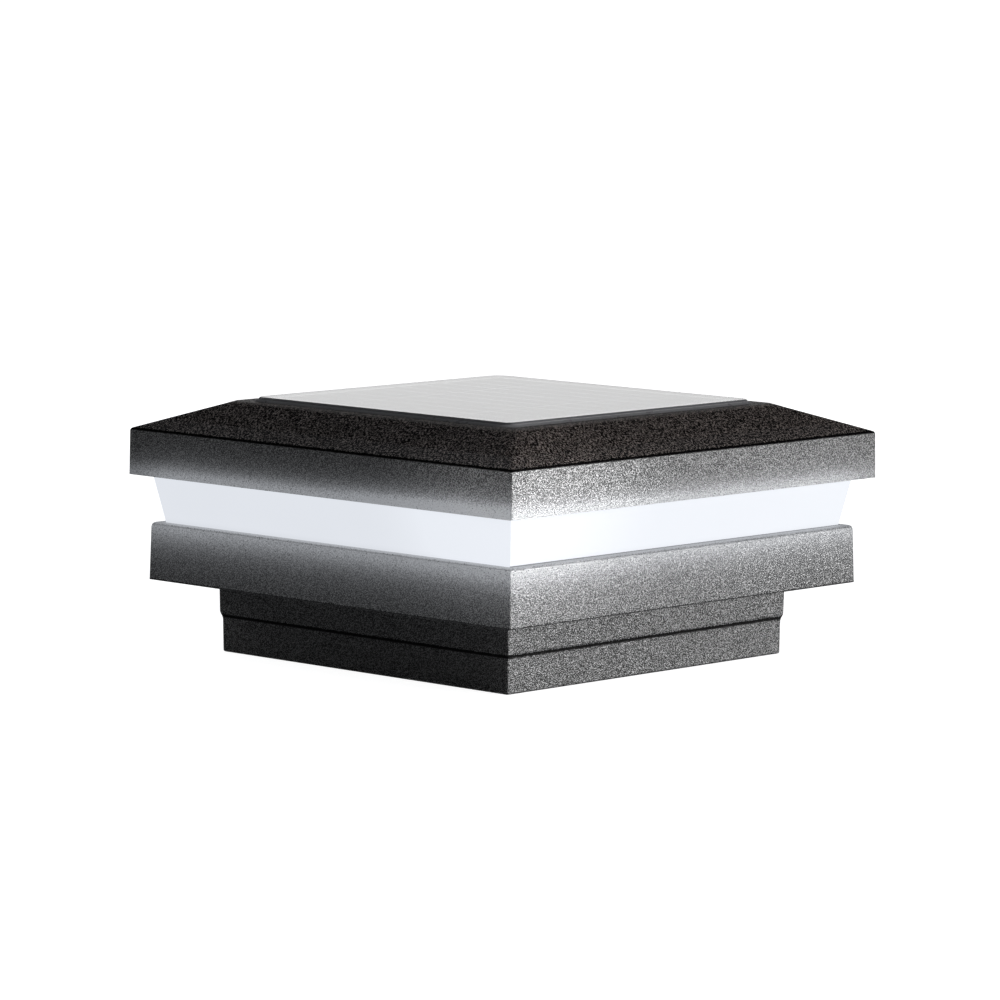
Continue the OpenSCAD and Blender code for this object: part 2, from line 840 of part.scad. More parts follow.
module wire_connectors() {
    color([0.93, 0.92, 0.86])
    for (p = [battery_plug_at, panel_plug_at, led_plug_at])
        box_at([p.x, board_y + p.y], connector_size, z_board_top, z_plug);
}

// Cell along X, with a rounded can, a shoulder and its button towards +X
module battery_cell() {
    r = cell_d / 2;
    button_r = cell_button[0] / 2;
    can = cell_l - cell_button[1];
    color([0.20, 0.42, 0.30])
    translate([cell_start, -bay_y, z_cell])
        rotate([0, 90, 0])
            rotate_extrude()
                polygon([[0, 0], [r - cell_round, 0], [r, cell_round], [r, can - cell_round],
                         [r - cell_round, can], [button_r, can], [button_r, cell_l], [0, cell_l]]);
}

module battery_spring() {
    color([0.80, 0.80, 0.82])
    tube(spring_path, spring_wire / 2, 8);
}

// Two flat plates in the ends of the bay, each with a tab through the ceiling
module battery_contacts() {
    plate_w = 11;
    plate_h = 11;
    color([0.82, 0.80, 0.72])
    for (x = [-1, 1]) {
        box_at([x * (bay_half_l - contact_t / 2), -bay_y], [contact_t, plate_w],
               z_cell - plate_h / 2, z_cell + plate_h / 2);
        box_at([x * (bay_half_l - contact_t / 2), -bay_y], [contact_t, tab_w],
               z_cell, z_bay_top + bay_wall + tab_h);
    }
}

// Flat door with a frame that enters the deck's opening and two cradles for the cell
module battery_door() {
    frame = [2 * (opening_half_l - door_gap), 2 * (opening_half_w - door_gap)];
    frame_t = 1.2;
    frame_h = door_gasket_t + deck_t * 0.7;
    cradle_w = 2 * (bay_half_w - door_gap) - 0.4;
    color([0.12, 0.12, 0.13])
    difference() {
        union() {
            translate([0, -bay_y, 0])
                rounded_block([2 * door_half_l, 2 * door_half_w], door_corner_r,
                              z_door, z_door_top);
            difference() {
                box_at([0, -bay_y], frame, z_door_top, z_door_top + frame_h);
                box_at([0, -bay_y], [frame.x - 2 * frame_t, frame.y - 2 * frame_t],
                       z_door_top, z_door_top + frame_h + eps);
            }
            for (x = [-1, 1])
                box_at([x * cell_l / 3.2, -bay_y], [rib_t, cradle_w],
                       z_door_top, z_cell - cell_d / 3.2);
        }
        translate([-cell_l / 2, -bay_y, z_cell])
            rotate([0, 90, 0])
                cylinder(r = cell_d / 2 + 0.3, h = cell_l);
        for (i = [-2:2])
            translate([i * grip_pitch, -bay_y, 0])
                rounded_block(grip_size, 0.49 * grip_size.x, z_door - eps, z_door + grip_depth);
        at_door_screws() {
            translate([0, 0, z_door - eps])
                cylinder(r = door_screw_r + hole_gap, h = door_t + 2 * eps);
            translate([0, 0, z_door])
                cylinder(r1 = door_head_r + hole_gap, r2 = door_screw_r + hole_gap,
                         h = countersink_h);
            translate([0, 0, z_door - eps])
                cylinder(r = door_head_r + hole_gap, h = eps);
        }
    }
}

module door_gasket() {
    color([0.25, 0.25, 0.26])
    difference() {
        translate([0, -bay_y, 0])
            rounded_block([2 * (door_half_l - gasket_inset), 2 * (door_half_w - gasket_inset)],
                          door_corner_r - gasket_inset, z_door_top, z_deck_under);
        box_at([0, -bay_y], [2 * opening_half_l, 2 * opening_half_w],
               z_door_top - eps, z_deck_under + eps);
        at_door_screws()
            translate([0, 0, z_door_top - eps])
                cylinder(r = door_screw_r + hole_gap, h = door_gasket_t + 2 * eps);
    }
}

// Countersunk screws with a cross recess
module door_screws() {
    color([0.78, 0.78, 0.80])
    at_door_screws()
        difference() {
            union() {
                translate([0, 0, z_door])
                    cylinder(r1 = door_head_r, r2 = door_screw_r, h = countersink_h);
                translate([0, 0, z_door + countersink_h])
                    cylinder(r = door_screw_r, h = door_screw_l - countersink_h);
            }
            cross_recess(door_head_r, z_door);
        }
}

// A cross shaped recess cut upwards into a screw's head
module cross_recess(head_r, z) {
    for (turn = [0, 90])
        rotate([0, 0, turn])
            translate([-head_r * 0.6, -0.35, z - eps])
                cube([head_r * 1.2, 0.7, eps + 1]);
}

// Long screws with flat heads under the deck
module assembly_screws() {
    color([0.78, 0.78, 0.80])
    at_screws()
        difference() {
            union() {
                translate([0, 0, z_washer - screw_head_h])
                    cylinder(d = screw_head_d, h = screw_head_h);
                translate([0, 0, z_washer])
                    cylinder(r = screw_r, h = z_screw_tip - z_washer);
            }
            cross_recess(screw_head_d / 2, z_washer - screw_head_h);
        }
}

module screw_washers() {
    color([0.20, 0.20, 0.21])
    at_screws()
        translate([0, 0, z_washer])
            difference() {
                cylinder(d = screw_head_d + 0.6, h = washer_t);
                translate([0, 0, -eps])
                    cylinder(r = screw_r + 0.1, h = washer_t + 2 * eps);
            }
}

// Switch body between the core's floor and the board, hollow where the slider runs
module switch_body() {
    hollow = [slider_plate.x + switch_travel + 2 * knob_gap, slider_plate.y + 2 * knob_gap];
    color([0.55, 0.57, 0.60])
    difference() {
        box_at(switch_pos, switch_size, z_floor, z_board);
        box_at(switch_pos, hollow, z_floor - eps, z_floor + slider_plate.z + 2 * slider_lift);
    }
}

// Slider: a plate inside the switch body and a finger piece through the deck
module switch_slider() {
    color([0.93, 0.93, 0.93])
    union() {
        box_at([knob_x, switch_pos.y], slider_plate,
               z_floor + slider_lift, z_floor + slider_lift + slider_plate.z);
        box_at([knob_x, switch_pos.y], knob_size,
               z_deck_under - knob_out, z_floor + slider_lift + 0.1);
    }
}

// One lead from a start point, down to a plug's top, by way of hand chosen points
module lead(start, way, plug, side) {
    over = [plug.x + side * lead_pitch / 2, board_y + plug.y, z_plug];
    path = concat(start, [for (p = way) p + [side * lead_pitch / 2, 0, 0]],
                  [over + [0, 0, 3 * lead_d], over + [0, 0, lead_d], over]);
    tube(smooth_path(path, 4), lead_r, 8);
}

module panel_lead(side) {
    top = [side * lead_pitch / 2, board_y, z_pocket];
    lead([top, top - [0, 0, lead_d], top - [0, 0, 3 * lead_d]],
         [for (p = panel_route) panel_route_start + p], panel_plug_at, side);
}

module panel_lead_red() {
    color([0.75, 0.10, 0.08])
    panel_lead(1);
}

module panel_lead_black() {
    color([0.08, 0.08, 0.08])
    panel_lead(-1);
}

// The battery leads start on top of the contact plates' tabs
module battery_lead(side) {
    top = [side * (bay_half_l - contact_t / 2), -bay_y, z_bay_top + bay_wall + tab_h];
    over = [battery_plug_at.x + side * lead_pitch / 2, board_y + battery_plug_at.y, z_plug];
    way = [for (p = battery_route)
              battery_route_start
              + [side * p.x + battery_plug_at.x * (1 - p.x / battery_route_reach), p.y, p.z]];
    path = concat([top, top + [0, 0, lead_d / 2], top + [0, 0, lead_d]], way,
                  [over + [0, 0, 3 * lead_d], over + [0, 0, lead_d], over]);
    tube(smooth_path(path, 4), lead_r, 8);
}

module battery_lead_red() {
    color([0.75, 0.10, 0.08])
    battery_lead(1);
}

module battery_lead_black() {
    color([0.08, 0.08, 0.08])
    battery_lead(-1);
}

// The LED leads cross the core's wall in its notch and end on an LED board
module led_lead(side) {
    pad = [notch_x + side * lead_pitch / 2, core_half + led_board_t + lead_r,
           led_board_z + led_board_h / 4];
    lead([pad, pad + [0, 0, 2 * lead_d], pad + [0, 0, 5 * lead_d]],
         [for (p = led_route) led_route_start + p], led_plug_at, side);
}

module led_lead_red() {
    color([0.75, 0.10, 0.08])
    led_lead(1);
}

module led_lead_black() {
    color([0.08, 0.08, 0.08])
    led_lead(-1);
}

roof_casting();
solar_glass();
panel_seal();
solar_cells();
panel_backsheet();
diffuser();
upper_gasket();
lower_gasket();
base_casting();
light_core();
led_boards();
leds();
led_jumpers();
control_board();
board_screws();
control_chip();
inductor();
capacitor();
chip_resistors();
wire_connectors();
battery_cell();
battery_spring();
battery_contacts();
battery_door();
door_gasket();
door_screws();
switch_body();
switch_slider();
assembly_screws();
screw_washers();
panel_lead_red();
panel_lead_black();
battery_lead_red();
battery_lead_black();
led_lead_red();
led_lead_black();
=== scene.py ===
"""Dressed model of a solar post cap light: finishes, small parts, lamps and camera."""

import math

import bmesh
import bpy
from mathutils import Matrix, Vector


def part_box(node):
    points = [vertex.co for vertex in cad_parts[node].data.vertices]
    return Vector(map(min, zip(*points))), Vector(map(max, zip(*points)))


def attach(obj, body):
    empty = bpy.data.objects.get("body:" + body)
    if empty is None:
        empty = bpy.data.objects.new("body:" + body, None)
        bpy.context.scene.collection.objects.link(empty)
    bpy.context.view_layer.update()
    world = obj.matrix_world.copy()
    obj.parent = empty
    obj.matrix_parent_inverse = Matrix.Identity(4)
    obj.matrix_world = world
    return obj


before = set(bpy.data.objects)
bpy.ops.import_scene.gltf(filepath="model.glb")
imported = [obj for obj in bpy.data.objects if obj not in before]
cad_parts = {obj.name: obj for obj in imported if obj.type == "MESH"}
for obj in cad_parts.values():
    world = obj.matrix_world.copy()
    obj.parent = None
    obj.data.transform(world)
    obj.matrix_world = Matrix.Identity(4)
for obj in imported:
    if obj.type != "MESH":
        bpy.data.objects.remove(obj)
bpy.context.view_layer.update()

bl_info = {
    "name": "Post cap light",
    "version": (1, 0, 0),
    "blender": (4, 5, 0),
    "location": "3D View > Sidebar > Post light",
    "description": "Dresses the solid model of a solar post cap light",
    "category": "Object",
}

MM = 0.001

# Heights and half widths that the finishes and small parts are placed by.
RIM_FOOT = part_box("roof_casting")[0].z
RIM_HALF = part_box("roof_casting")[1].x
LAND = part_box("roof_casting")[1].z
DECK_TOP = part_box("base_casting")[1].z
SKIRT_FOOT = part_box("base_casting")[0].z
CASTINGS_MEET = (RIM_FOOT + DECK_TOP) / 2
BAND_HALF = 57.3 * MM
EAVE = 54.0 * MM
STEP = 8.9 * MM
TRAY_FOOT = 17.5 * MM

# How far over the corner that faces the camera the painted light on the castings and the band
# grows brighter, as a sum of both distances from the middle.
FRONT_START = 0.9 * RIM_HALF

BLACK = (0.0, 0.0, 0.0)
WHITE = (1.0, 1.0, 1.0)


# ---------------------------------------------------------------- node trees


class Signal:
    """One output socket of a node tree, which can be used in sums and products."""

    def __init__(self, nodes, socket):
        self.nodes = nodes
        self.socket = socket

    def _maths(self, operation, *values):
        return self.nodes.node("ShaderNodeMath", {"operation": operation}, dict(enumerate(values)))

    def __add__(self, other):
        return self._maths("ADD", self, other)

    def __radd__(self, other):
        return self._maths("ADD", other, self)

    def __sub__(self, other):
        return self._maths("SUBTRACT", self, other)

    def __rsub__(self, other):
        return self._maths("SUBTRACT", other, self)

    def __mul__(self, other):
        return self._maths("MULTIPLY", self, other)

    def __rmul__(self, other):
        return self._maths("MULTIPLY", other, self)

    def __truediv__(self, other):
        return self._maths("DIVIDE", self, other)

    def __rtruediv__(self, other):
        return self._maths("DIVIDE", other, self)

    def __pow__(self, other):
        return self._maths("POWER", self, other)

    def __rpow__(self, other):
        return self._maths("POWER", other, self)

    def __abs__(self):
        return self._maths("ABSOLUTE", self)

    def __mod__(self, other):
        return self._maths("FLOORED_MODULO", self, other)

    def __rmod__(self, other):
        return self._maths("FLOORED_MODULO", other, self)

    def at_least(self, other):
        return self._maths("MAXIMUM", self, other)

    def step(self, start, end):
        """Runs smoothly from 0 at start to 1 at end, either way round."""
        low, high, first, last = (start, end, 0.0, 1.0)
        if start > end:
            low, high, first, last = (end, start, 1.0, 0.0)
        return self.nodes.node(
            "ShaderNodeMapRange",
            {"interpolation_type": "SMOOTHSTEP"},
            {0: self, 1: low, 2: high, 3: first, 4: last},
        )

    def output(self, name):
        """Another output of the same node."""
        return Signal(self.nodes, self.socket.node.outputs[name])


class Nodes:
    """A node tree that is filled by expressions."""

    def __init__(self, tree, owner=None):
        self.owner = owner
        self.tree = tree
        self.tree.nodes.clear()
        self._place = None

    def node(self, kind, settings=None, inputs=None, output=0):
        """Adds one node: its settings first, then its sockets' values or links."""
        made = self.tree.nodes.new(kind)
        for key, value in (settings or {}).items():
            setattr(made, key, value)
        for key, value in (inputs or {}).items():
            if isinstance(value, Signal):
                self.tree.links.new(value.socket, made.inputs[key])
            elif made.inputs[key].type == "RGBA":
                made.inputs[key].default_value = (*value[:3], 1.0)
            else:
                made.inputs[key].default_value = value
        return Signal(self, made.outputs[output]) if made.outputs else made

    @property
    def place(self):
        """The point on the object, in metres from the middle of the skirt's foot."""
        if self._place is None:
            self._place = self.node("ShaderNodeTexCoord", output="Object")
        return self._place

    def axes(self):
        """The point's x, y and z."""
        split = self.node("ShaderNodeSeparateXYZ", inputs={0: self.place})
        return split, split.output("Y"), split.output("Z")

    def tilt(self):
        """0 on upright faces and 1 on level ones, whether they look up or down."""
        facing = self.node("ShaderNodeTexCoord", output="Normal")
        return abs(self.node("ShaderNodeSeparateXYZ", inputs={0: facing}).output("Z"))

    def noise(self, size, detail=2.0, roughness=0.5, stretch=None, place=None):
        """Even noise from 0 to 1, with marks of the given size in metres."""
        place = place or self.place
        if stretch:
            place = self.node(
                "ShaderNodeVectorMath", {"operation": "MULTIPLY"}, {0: place, 1: stretch}
            )
        return self.node(
            "ShaderNodeTexNoise",
            {"noise_dimensions": "3D"},
            {"Vector": place, "Scale": 1 / size, "Detail": detail, "Roughness": roughness},
        )

    def mix(self, factor, first, second):
        """A colour between two colours."""
        return self.node(
            "ShaderNodeMix",
            {"data_type": "RGBA", "clamp_factor": True},
            {0: factor, 6: first, 7: second},
            output=2,
        )

    def bump(self, height, depth, strength=1.0):
        """A bumpy normal whose height runs over depth in metres."""
        return self.node(
            "ShaderNodeBump", inputs={"Strength": strength, "Distance": depth, "Height": height}
        )

    def surface(self, colour, roughness, **sockets):
        """The principled shader: colours, links and constants on its own sockets."""
        inputs = {"Base Color": colour, "Roughness": roughness}
        inputs.update({key.replace("_", " "): value for key, value in sockets.items()})
        return self.node("ShaderNodeBsdfPrincipled", inputs=inputs)

    def blend(self, factor, first, second):
        """A shader between two shaders."""
        return self.node("ShaderNodeMixShader", inputs={0: factor, 1: first, 2: second})

    def finish(self, shader, kind="ShaderNodeOutputMaterial"):
        """Ends the tree with a shader and gives back what it belongs to."""
        self.node(kind, inputs={"Surface": shader})
        return self.owner


def new_finish(name):
    """The empty node tree of a new material."""
    material = bpy.data.materials.new(name)
    material.use_nodes = True
    return Nodes(material.node_tree, material)


# ------------------------------------------------------- dressing the solids


def dress(material, *names):
    """Gives a material to solids of the frame, on their objects' own slots."""
    for name in names:
        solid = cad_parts[name]
        for held in solid.material_slots:
            held.link = "OBJECT"
            held.material = material


def smooth_group():
    """A modifier that shades smoothly except over edges sharper than 35 degrees."""
    name = "smooth_shading"
    group = bpy.data.node_groups.get(name)
    if group:
        return group
    group = bpy.data.node_groups.new(name, "GeometryNodeTree")
    for way in ("INPUT", "OUTPUT"):
        group.interface.new_socket("Geometry", in_out=way, socket_type="NodeSocketGeometry")
    nodes = Nodes(group)
    start = nodes.node("NodeGroupInput")
    plain = nodes.node(
        "GeometryNodeRemoveAttribute", inputs={"Geometry": start, "Name": "custom_normal"}
    )
    faces = nodes.node("GeometryNodeSetShadeSmooth", {"domain": "FACE"}, {"Geometry": plain})
    sharp = nodes.node(
        "ShaderNodeMath",
        {"operation": "GREATER_THAN"},
        {0: nodes.node("GeometryNodeInputMeshEdgeAngle"), 1: math.radians(35)},
    )
    edges = nodes.node(
        "GeometryNodeSetShadeSmooth",
        {"domain": "EDGE"},
        {"Geometry": faces, "Selection": sharp, "Shade Smooth": False},
    )
    nodes.node("NodeGroupOutput", inputs={0: edges})
    return group


def soften(name, radius, segments=3):
    """Rounds a solid's sharp edges with modifiers and leaves its mesh alone."""
    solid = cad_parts[name]
    weld = solid.modifiers.new("one_skin", "WELD")
    weld.merge_threshold = 1e-6
    plain = solid.modifiers.new("whole_faces", "DECIMATE")
    plain.decimate_type = "DISSOLVE"
    plain.angle_limit = math.radians(0.5)
    edge = solid.modifiers.new("round_edges", "BEVEL")
    edge.width = radius
    edge.segments = segments
    edge.limit_method = "ANGLE"
    edge.angle_limit = math.radians(20)
    edge.use_clamp_overlap = False
    smooth = solid.modifiers.new("smooth_shading", "NODES")
    smooth.node_group = smooth_group()
    flat = solid.modifiers.new("flat_faces", "WEIGHTED_NORMAL")
    flat.mode = "FACE_AREA"
    flat.weight = 100
    flat.keep_sharp = True


def new_piece(name, mesh_maker, material, body="lamp", smooth=True):
    """A small part made in mesh code, riding on one body of the frame."""
    mesh = bpy.data.meshes.new(name)
    shape = bmesh.new()
    mesh_maker(shape)
    bmesh.ops.recalc_face_normals(shape, faces=shape.faces)
    for face in shape.faces:
        face.smooth = smooth
    shape.to_mesh(mesh)
    shape.free()
    mesh.materials.append(material)
    piece = bpy.data.objects.new(name, mesh)
    bpy.context.scene.collection.objects.link(piece)
    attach(piece, body)
    return piece


def ring(shape, middle, side, across, radius, sides):
    """A ring of points round a middle, in the plane of two directions."""
    turns = [2 * math.pi * k / sides for k in range(sides)]
    return [
        shape.verts.new(middle + radius * (math.cos(turn) * side + math.sin(turn) * across))
        for turn in turns
    ]


def wall(shape, one, two):
    """Faces all round between two rings."""
    for k in range(len(one)):
        after = (k + 1) % len(one)
        shape.faces.new((one[k], one[after], two[after], two[k]))


def sweep(shape, path, radius, sides):
    """A capped round wire along a path of points."""
    rings = []
    side = None
    for i, point in enumerate(path):
        ahead = path[min(i + 1, len(path) - 1)] - path[max(i - 1, 0)]
        ahead.normalize()
        if side is None:
            side = ahead.orthogonal().normalized()
        side = (side - ahead * side.dot(ahead)).normalized()
        rings.append(ring(shape, point, side, ahead.cross(side), radius, sides))
    for one, two in zip(rings, rings[1:]):
        wall(shape, one, two)
    shape.faces.new(list(reversed(rings[0])))
    shape.faces.new(rings[-1])


# ------------------------------------------------------------------ settings


def length(name, description, default, **more):
    return bpy.props.FloatProperty(
        name=name, description=description, default=default, unit="LENGTH", precision=5, **more
    )


def factor(name, description, default, high=1.0):
    return bpy.props.FloatProperty(
        name=name, description=description, default=default, min=0.0, max=high
    )


def colour(name, description, default):
    return bpy.props.FloatVectorProperty(
        name=name, description=description, default=default, subtype="COLOR", min=0.0, max=1.0
    )


class CoatSettings(bpy.types.PropertyGroup):
    """The textured coat of both castings."""

    coat_colour: colour("Coat", "Colour of the powder coat", (0.004, 0.0037, 0.0036))
    grain_colour: colour("Grain", "Colour of the grain on upright faces", (0.036, 0.036, 0.038))
    # The slopes' specks are lighter and warmer than the grain on upright faces: painted light from
    # above.
    slope_speck_painted_light: colour("Specks", "Colour of the grain on slopes", (0.135, 0.107, 0.094))
    pit_colour: colour("Pits", "Colour of the pits in the grain", (0.002, 0.002, 0.002))
    roughness: factor("Roughness", "Roughness of the coat", 0.44)
    grain_size: length("Grain size", "Size of one grain of the coat", 0.28 * MM)
    grain_stretch: factor("Grain stretch", "How much finer the grain is upright than across", 0.8)
    slope_stretch: factor(
        "Slope stretch", "How much finer the grain is along than down slopes", 0.45
    )
    grain_depth: length("Grain depth", "Height of the coat's grain", 0.2 * MM)
    pit_level: factor("Pit level", "Share of the noise that lies in pits", 0.30)
    pit_share: factor("Pit strength", "How much the pits differ from the coat", 0.7)
    grain_contrast: factor("Grain contrast", "Dullness between the grains upright", 0.84)
    slope_contrast: factor("Slope contrast", "Dullness between the grains on slopes", 1.0)
    land_contrast: factor("Land contrast", "Dullness between the grains round the panel", 0.45)
    edge_radius: length("Edge radius", "Radius of the castings' edges", 0.55 * MM)


class BandSettings(bpy.types.PropertyGroup):
    """The lit band and the halo painted on the castings beside it as a glow."""

    opal_colour: colour("Opal", "Colour of the unlit band", (0.10, 0.10, 0.10))
    glow_colour: colour("Glow", "Colour of the light through the band", (0.885, 0.92, 0.985))
    glow: factor("Strength", "Strength of the light through the band", 0.89, 10.0)
    halo: factor("Halo", "Strength of the halo beside the band", 0.29, 10.0)
    halo_up: length("Halo up", "Reach of the halo on the rim", 2.6 * MM)
    halo_down: length("Halo down", "Reach of the halo on the tray", 4.0 * MM)


class PanelSettings(bpy.types.PropertyGroup):
    """The solar panel."""

    cell_colour: colour("Cells", "Colour of the silicon", (0.010, 0.014, 0.040))
    grid_colour: colour("Grid", "Colour of the silver grid", (0.50, 0.51, 0.53))
    finger_pitch: length("Finger pitch", "Distance of the thin grid lines", 1.9 * MM)
    finger_width: length("Finger width", "Width of the thin grid lines", 0.11 * MM)
    busbar_width: length("Busbar width", "Width of the two wide grid lines", 0.9 * MM)
    glass_tint: colour("Glass", "Tint of the glass", (0.93, 0.96, 0.98))
    edge_colour: colour("Glass edge", "Colour of the glass's ground edge", (0.09, 0.09, 0.095))
    seal_colour: colour("Sealant", "Colour of the sealant round the glass", (0.12, 0.12, 0.125))


class InnerSettings(bpy.types.PropertyGroup):
    """The inner parts."""

    housing_colour: colour("Housing", "Colour of the light core", (0.78, 0.79, 0.80))
    board_colour: colour("Board", "Colour of the control board", (0.015, 0.12, 0.055))
    sleeve_colour: colour("Sleeve", "Colour of the cell's sleeve", (0.03, 0.19, 0.11))
    red_wire: colour("Red leads", "Colour of the plus leads", (0.42, 0.018, 0.014))
    black_wire: colour("Black leads", "Colour of the minus leads", (0.014, 0.014, 0.015))
    steel_colour: colour("Steel", "Colour of the screws and springs", (0.62, 0.62, 0.63))


class StageSettings(bpy.types.PropertyGroup):
    """Floor, lamps and camera."""

    floor_colour: colour("Floor", "Colour of the floor", (0.60, 0.60, 0.60))
    floor_light: factor(
        "Floor light", "Share of the white near the object that never darkens", 0.93
    )
    side_lamp: factor("Side lamp", "Strength of the soft box on the right", 45.0, 200.0)
    corner_lamp: factor("Corner lamp", "Strength of the small lamp left of the corner", 0.8, 100.0)
    front_lamp: factor("Front lamp", "Strength of the small lamp right of the corner", 3.4, 100.0)
    edge_lamp: factor("Edge lamp", "Strength of the lamp that the front edge mirrors", 9.0, 300.0)
    back_lamp: factor("Back lamp", "Strength of the soft box that the glass mirrors", 0.92, 100.0)
    left_lamp: factor("Left lamp", "Strength of the weak soft box on the far left", 1.2, 100.0)
    under_lamp: factor("Under lamp", "Strength of the lamp below the socket", 13.0, 100.0)
    top_lamp: factor("Top lamp", "Strength of the soft box above", 0.5, 100.0)
    ambient: factor("Ambient", "Strength of the light from all sides", 0.18, 10.0)
    horizon: factor("Horizon", "Strength of the pale horizon in mirrors", 0.12)
    camera_place: bpy.props.FloatVectorProperty(
        name="Camera",
        description="Place of the camera",
        default=(-0.889601, -0.852546, 0.181608),
        subtype="TRANSLATION",
        unit="LENGTH",
    )
    camera_turn: bpy.props.FloatVectorProperty(
        name="Camera turn",
        description="Direction of the camera",
        default=tuple(math.radians(a) for a in (83.30725, -0.39593, -46.14139)),
        subtype="EULER",
        unit="ROTATION",
    )
    camera_lens: bpy.props.FloatProperty(
        name="Lens",
        description="Focal length on a frame 36 mm wide",
        default=185.852,
        min=1.0,
        unit="CAMERA",
    )


# ------------------------------------------------------------------ castings


class CastingPlace:
    """Where a point lies on the castings, in signals that their finish is worked out from."""

    def __init__(self, nodes):
        x, y, self.z = nodes.axes()
        self.across = abs(x).at_least(abs(y))
        # 1 on the two faces that look along X, and 0 on the two that look along Y.
        self.side = (abs(x) - abs(y)).step(-1e-6, 1e-6)
        self.along = y * self.side + x * (1.0 - self.side)
        # 1 on the roof casting, and 0 on the base casting.
        self.above = self.z.step(CASTINGS_MEET - MM, CASTINGS_MEET + MM)
        tilt = nodes.tilt()
        self.sloped = tilt.step(0.3, 0.7) * self.above
        # The tray's ledge beside the band, which gets more of the painted glow.
        self.ledge = tilt.step(0.7, 0.95) * (1.0 - self.above)
        # 1 at the corner that faces the camera, and at the ends of its faces, where the painted
        # glow grows and fades.
        self.front = (-1.0 * x - y).step(FRONT_START, 2 * RIM_HALF)
        corner = (abs(x) + abs(y)).step(1.72 * RIM_HALF, 2 * RIM_HALF)
        self.end = corner * (1.0 - self.front)


def coat_grain(nodes, coat, place):
    """The coat's worm-like grain, and the pits in it."""
    # The noise leans to every face, so that none cuts it straight and looks different, and
    # it jumps where the faces meet, so that they don't mirror each other.
    lean_up, lean_in, lean_back, jump = 0.5, 0.35, 0.4, 0.03
    inward = coat.grain_stretch + (coat.slope_stretch - coat.grain_stretch) * place.above
    laid = nodes.node(
        "ShaderNodeCombineXYZ",
        inputs={
            0: place.along * coat.grain_stretch + place.z * lean_up,
            1: place.across * inward + place.along * lean_in + place.z * lean_in,
            2: place.z - place.along * lean_back + place.side * jump,
        },
    )
    grain = nodes.noise(coat.grain_size, detail=1.0, roughness=0.6, place=laid)
    hollow = nodes.noise(coat.grain_size * 1.15, detail=0.0, place=laid).output("Color")
    hollow = nodes.node("ShaderNodeSeparateColor", inputs={0: hollow})
    return grain, hollow.step(coat.pit_level + 0.05, coat.pit_level - 0.05)


def painted_band_halo(band, place):
    """The band's light painted on the castings as a glow, which fades away from it and at the far
    ends.
    """
    rim_fall, tray_fall, tray_share = 2.6, 2.3, 0.97
    up = ((place.z - RIM_FOOT) / band.halo_up).at_least(0.0)
    down = ((DECK_TOP - place.z) / band.halo_down).at_least(0.0)
    rim = place.above / (1.0 + up**rim_fall)
    tray = (1.0 - place.above) * tray_share / (1.0 + down**tray_fall)
    # Painted light: the glow grows at the corner that faces the camera, most on the left face,
    # grows on the tray's ledge and fades at the far ends.
    rim = rim * (1.0 + place.front * (0.2 + 0.8 * place.side)) * (1.0 - 0.5 * place.end)
    tray = tray * (1.0 + 1.8 * place.ledge) * (1.0 + 0.3 * place.front) * (1.0 - 0.2 * place.end)
    outside = place.across.step(BAND_HALF + 0.1 * MM, BAND_HALF + 0.3 * MM)
    return (rim + tray) * outside


def grain_gaps(coat, place, grain, halo):
    """How dull the coat is between its grains: most on the slopes, least in the halo."""
    slope_gap, halo_fill = 0.04, 0.6
    depth = coat.grain_contrast + (coat.slope_contrast - coat.grain_contrast) * place.sloped
    land = place.z.step(LAND - 0.5 * MM, LAND - 0.15 * MM)
    depth = depth + (coat.land_contrast - depth) * land
    top = (grain - slope_gap * place.sloped).step(0.46, 0.56)
    return (1.0 - top) * depth * (1.0 - halo_fill * halo)


# The painted shade lines round the castings: a painted shadow under the eave, a painted dark line
# along the tray's top edge, and painted shade along the tray's foot and under the skirt's step.
# For each: height, how far the grain moves the line, half width of its core and of its blur, all
# in metres, and how dark it is.
PAINTED_SHADE_LINES = {
    "eave": (EAVE, 0.30 * MM, 0.22 * MM, 0.42 * MM, 1.0),
    "lip": (DECK_TOP - 0.5 * MM, 0.24 * MM, 0.06 * MM, 0.20 * MM, 0.55),
    "foot": (TRAY_FOOT + 0.25 * MM, 0.48 * MM, 0.10 * MM, 0.22 * MM, 0.9),
    "step": (STEP, 0.48 * MM, 0.30 * MM, 0.50 * MM, 0.95),
}


def painted_shade_line(place, grain, name):
    """One painted shade line, whose edges wander with the grain."""
    height, wander, core, blur, share = PAINTED_SHADE_LINES[name]
    return abs(place.z + (grain - 0.5) * wander * 2.0 - height).step(blur, core) * share


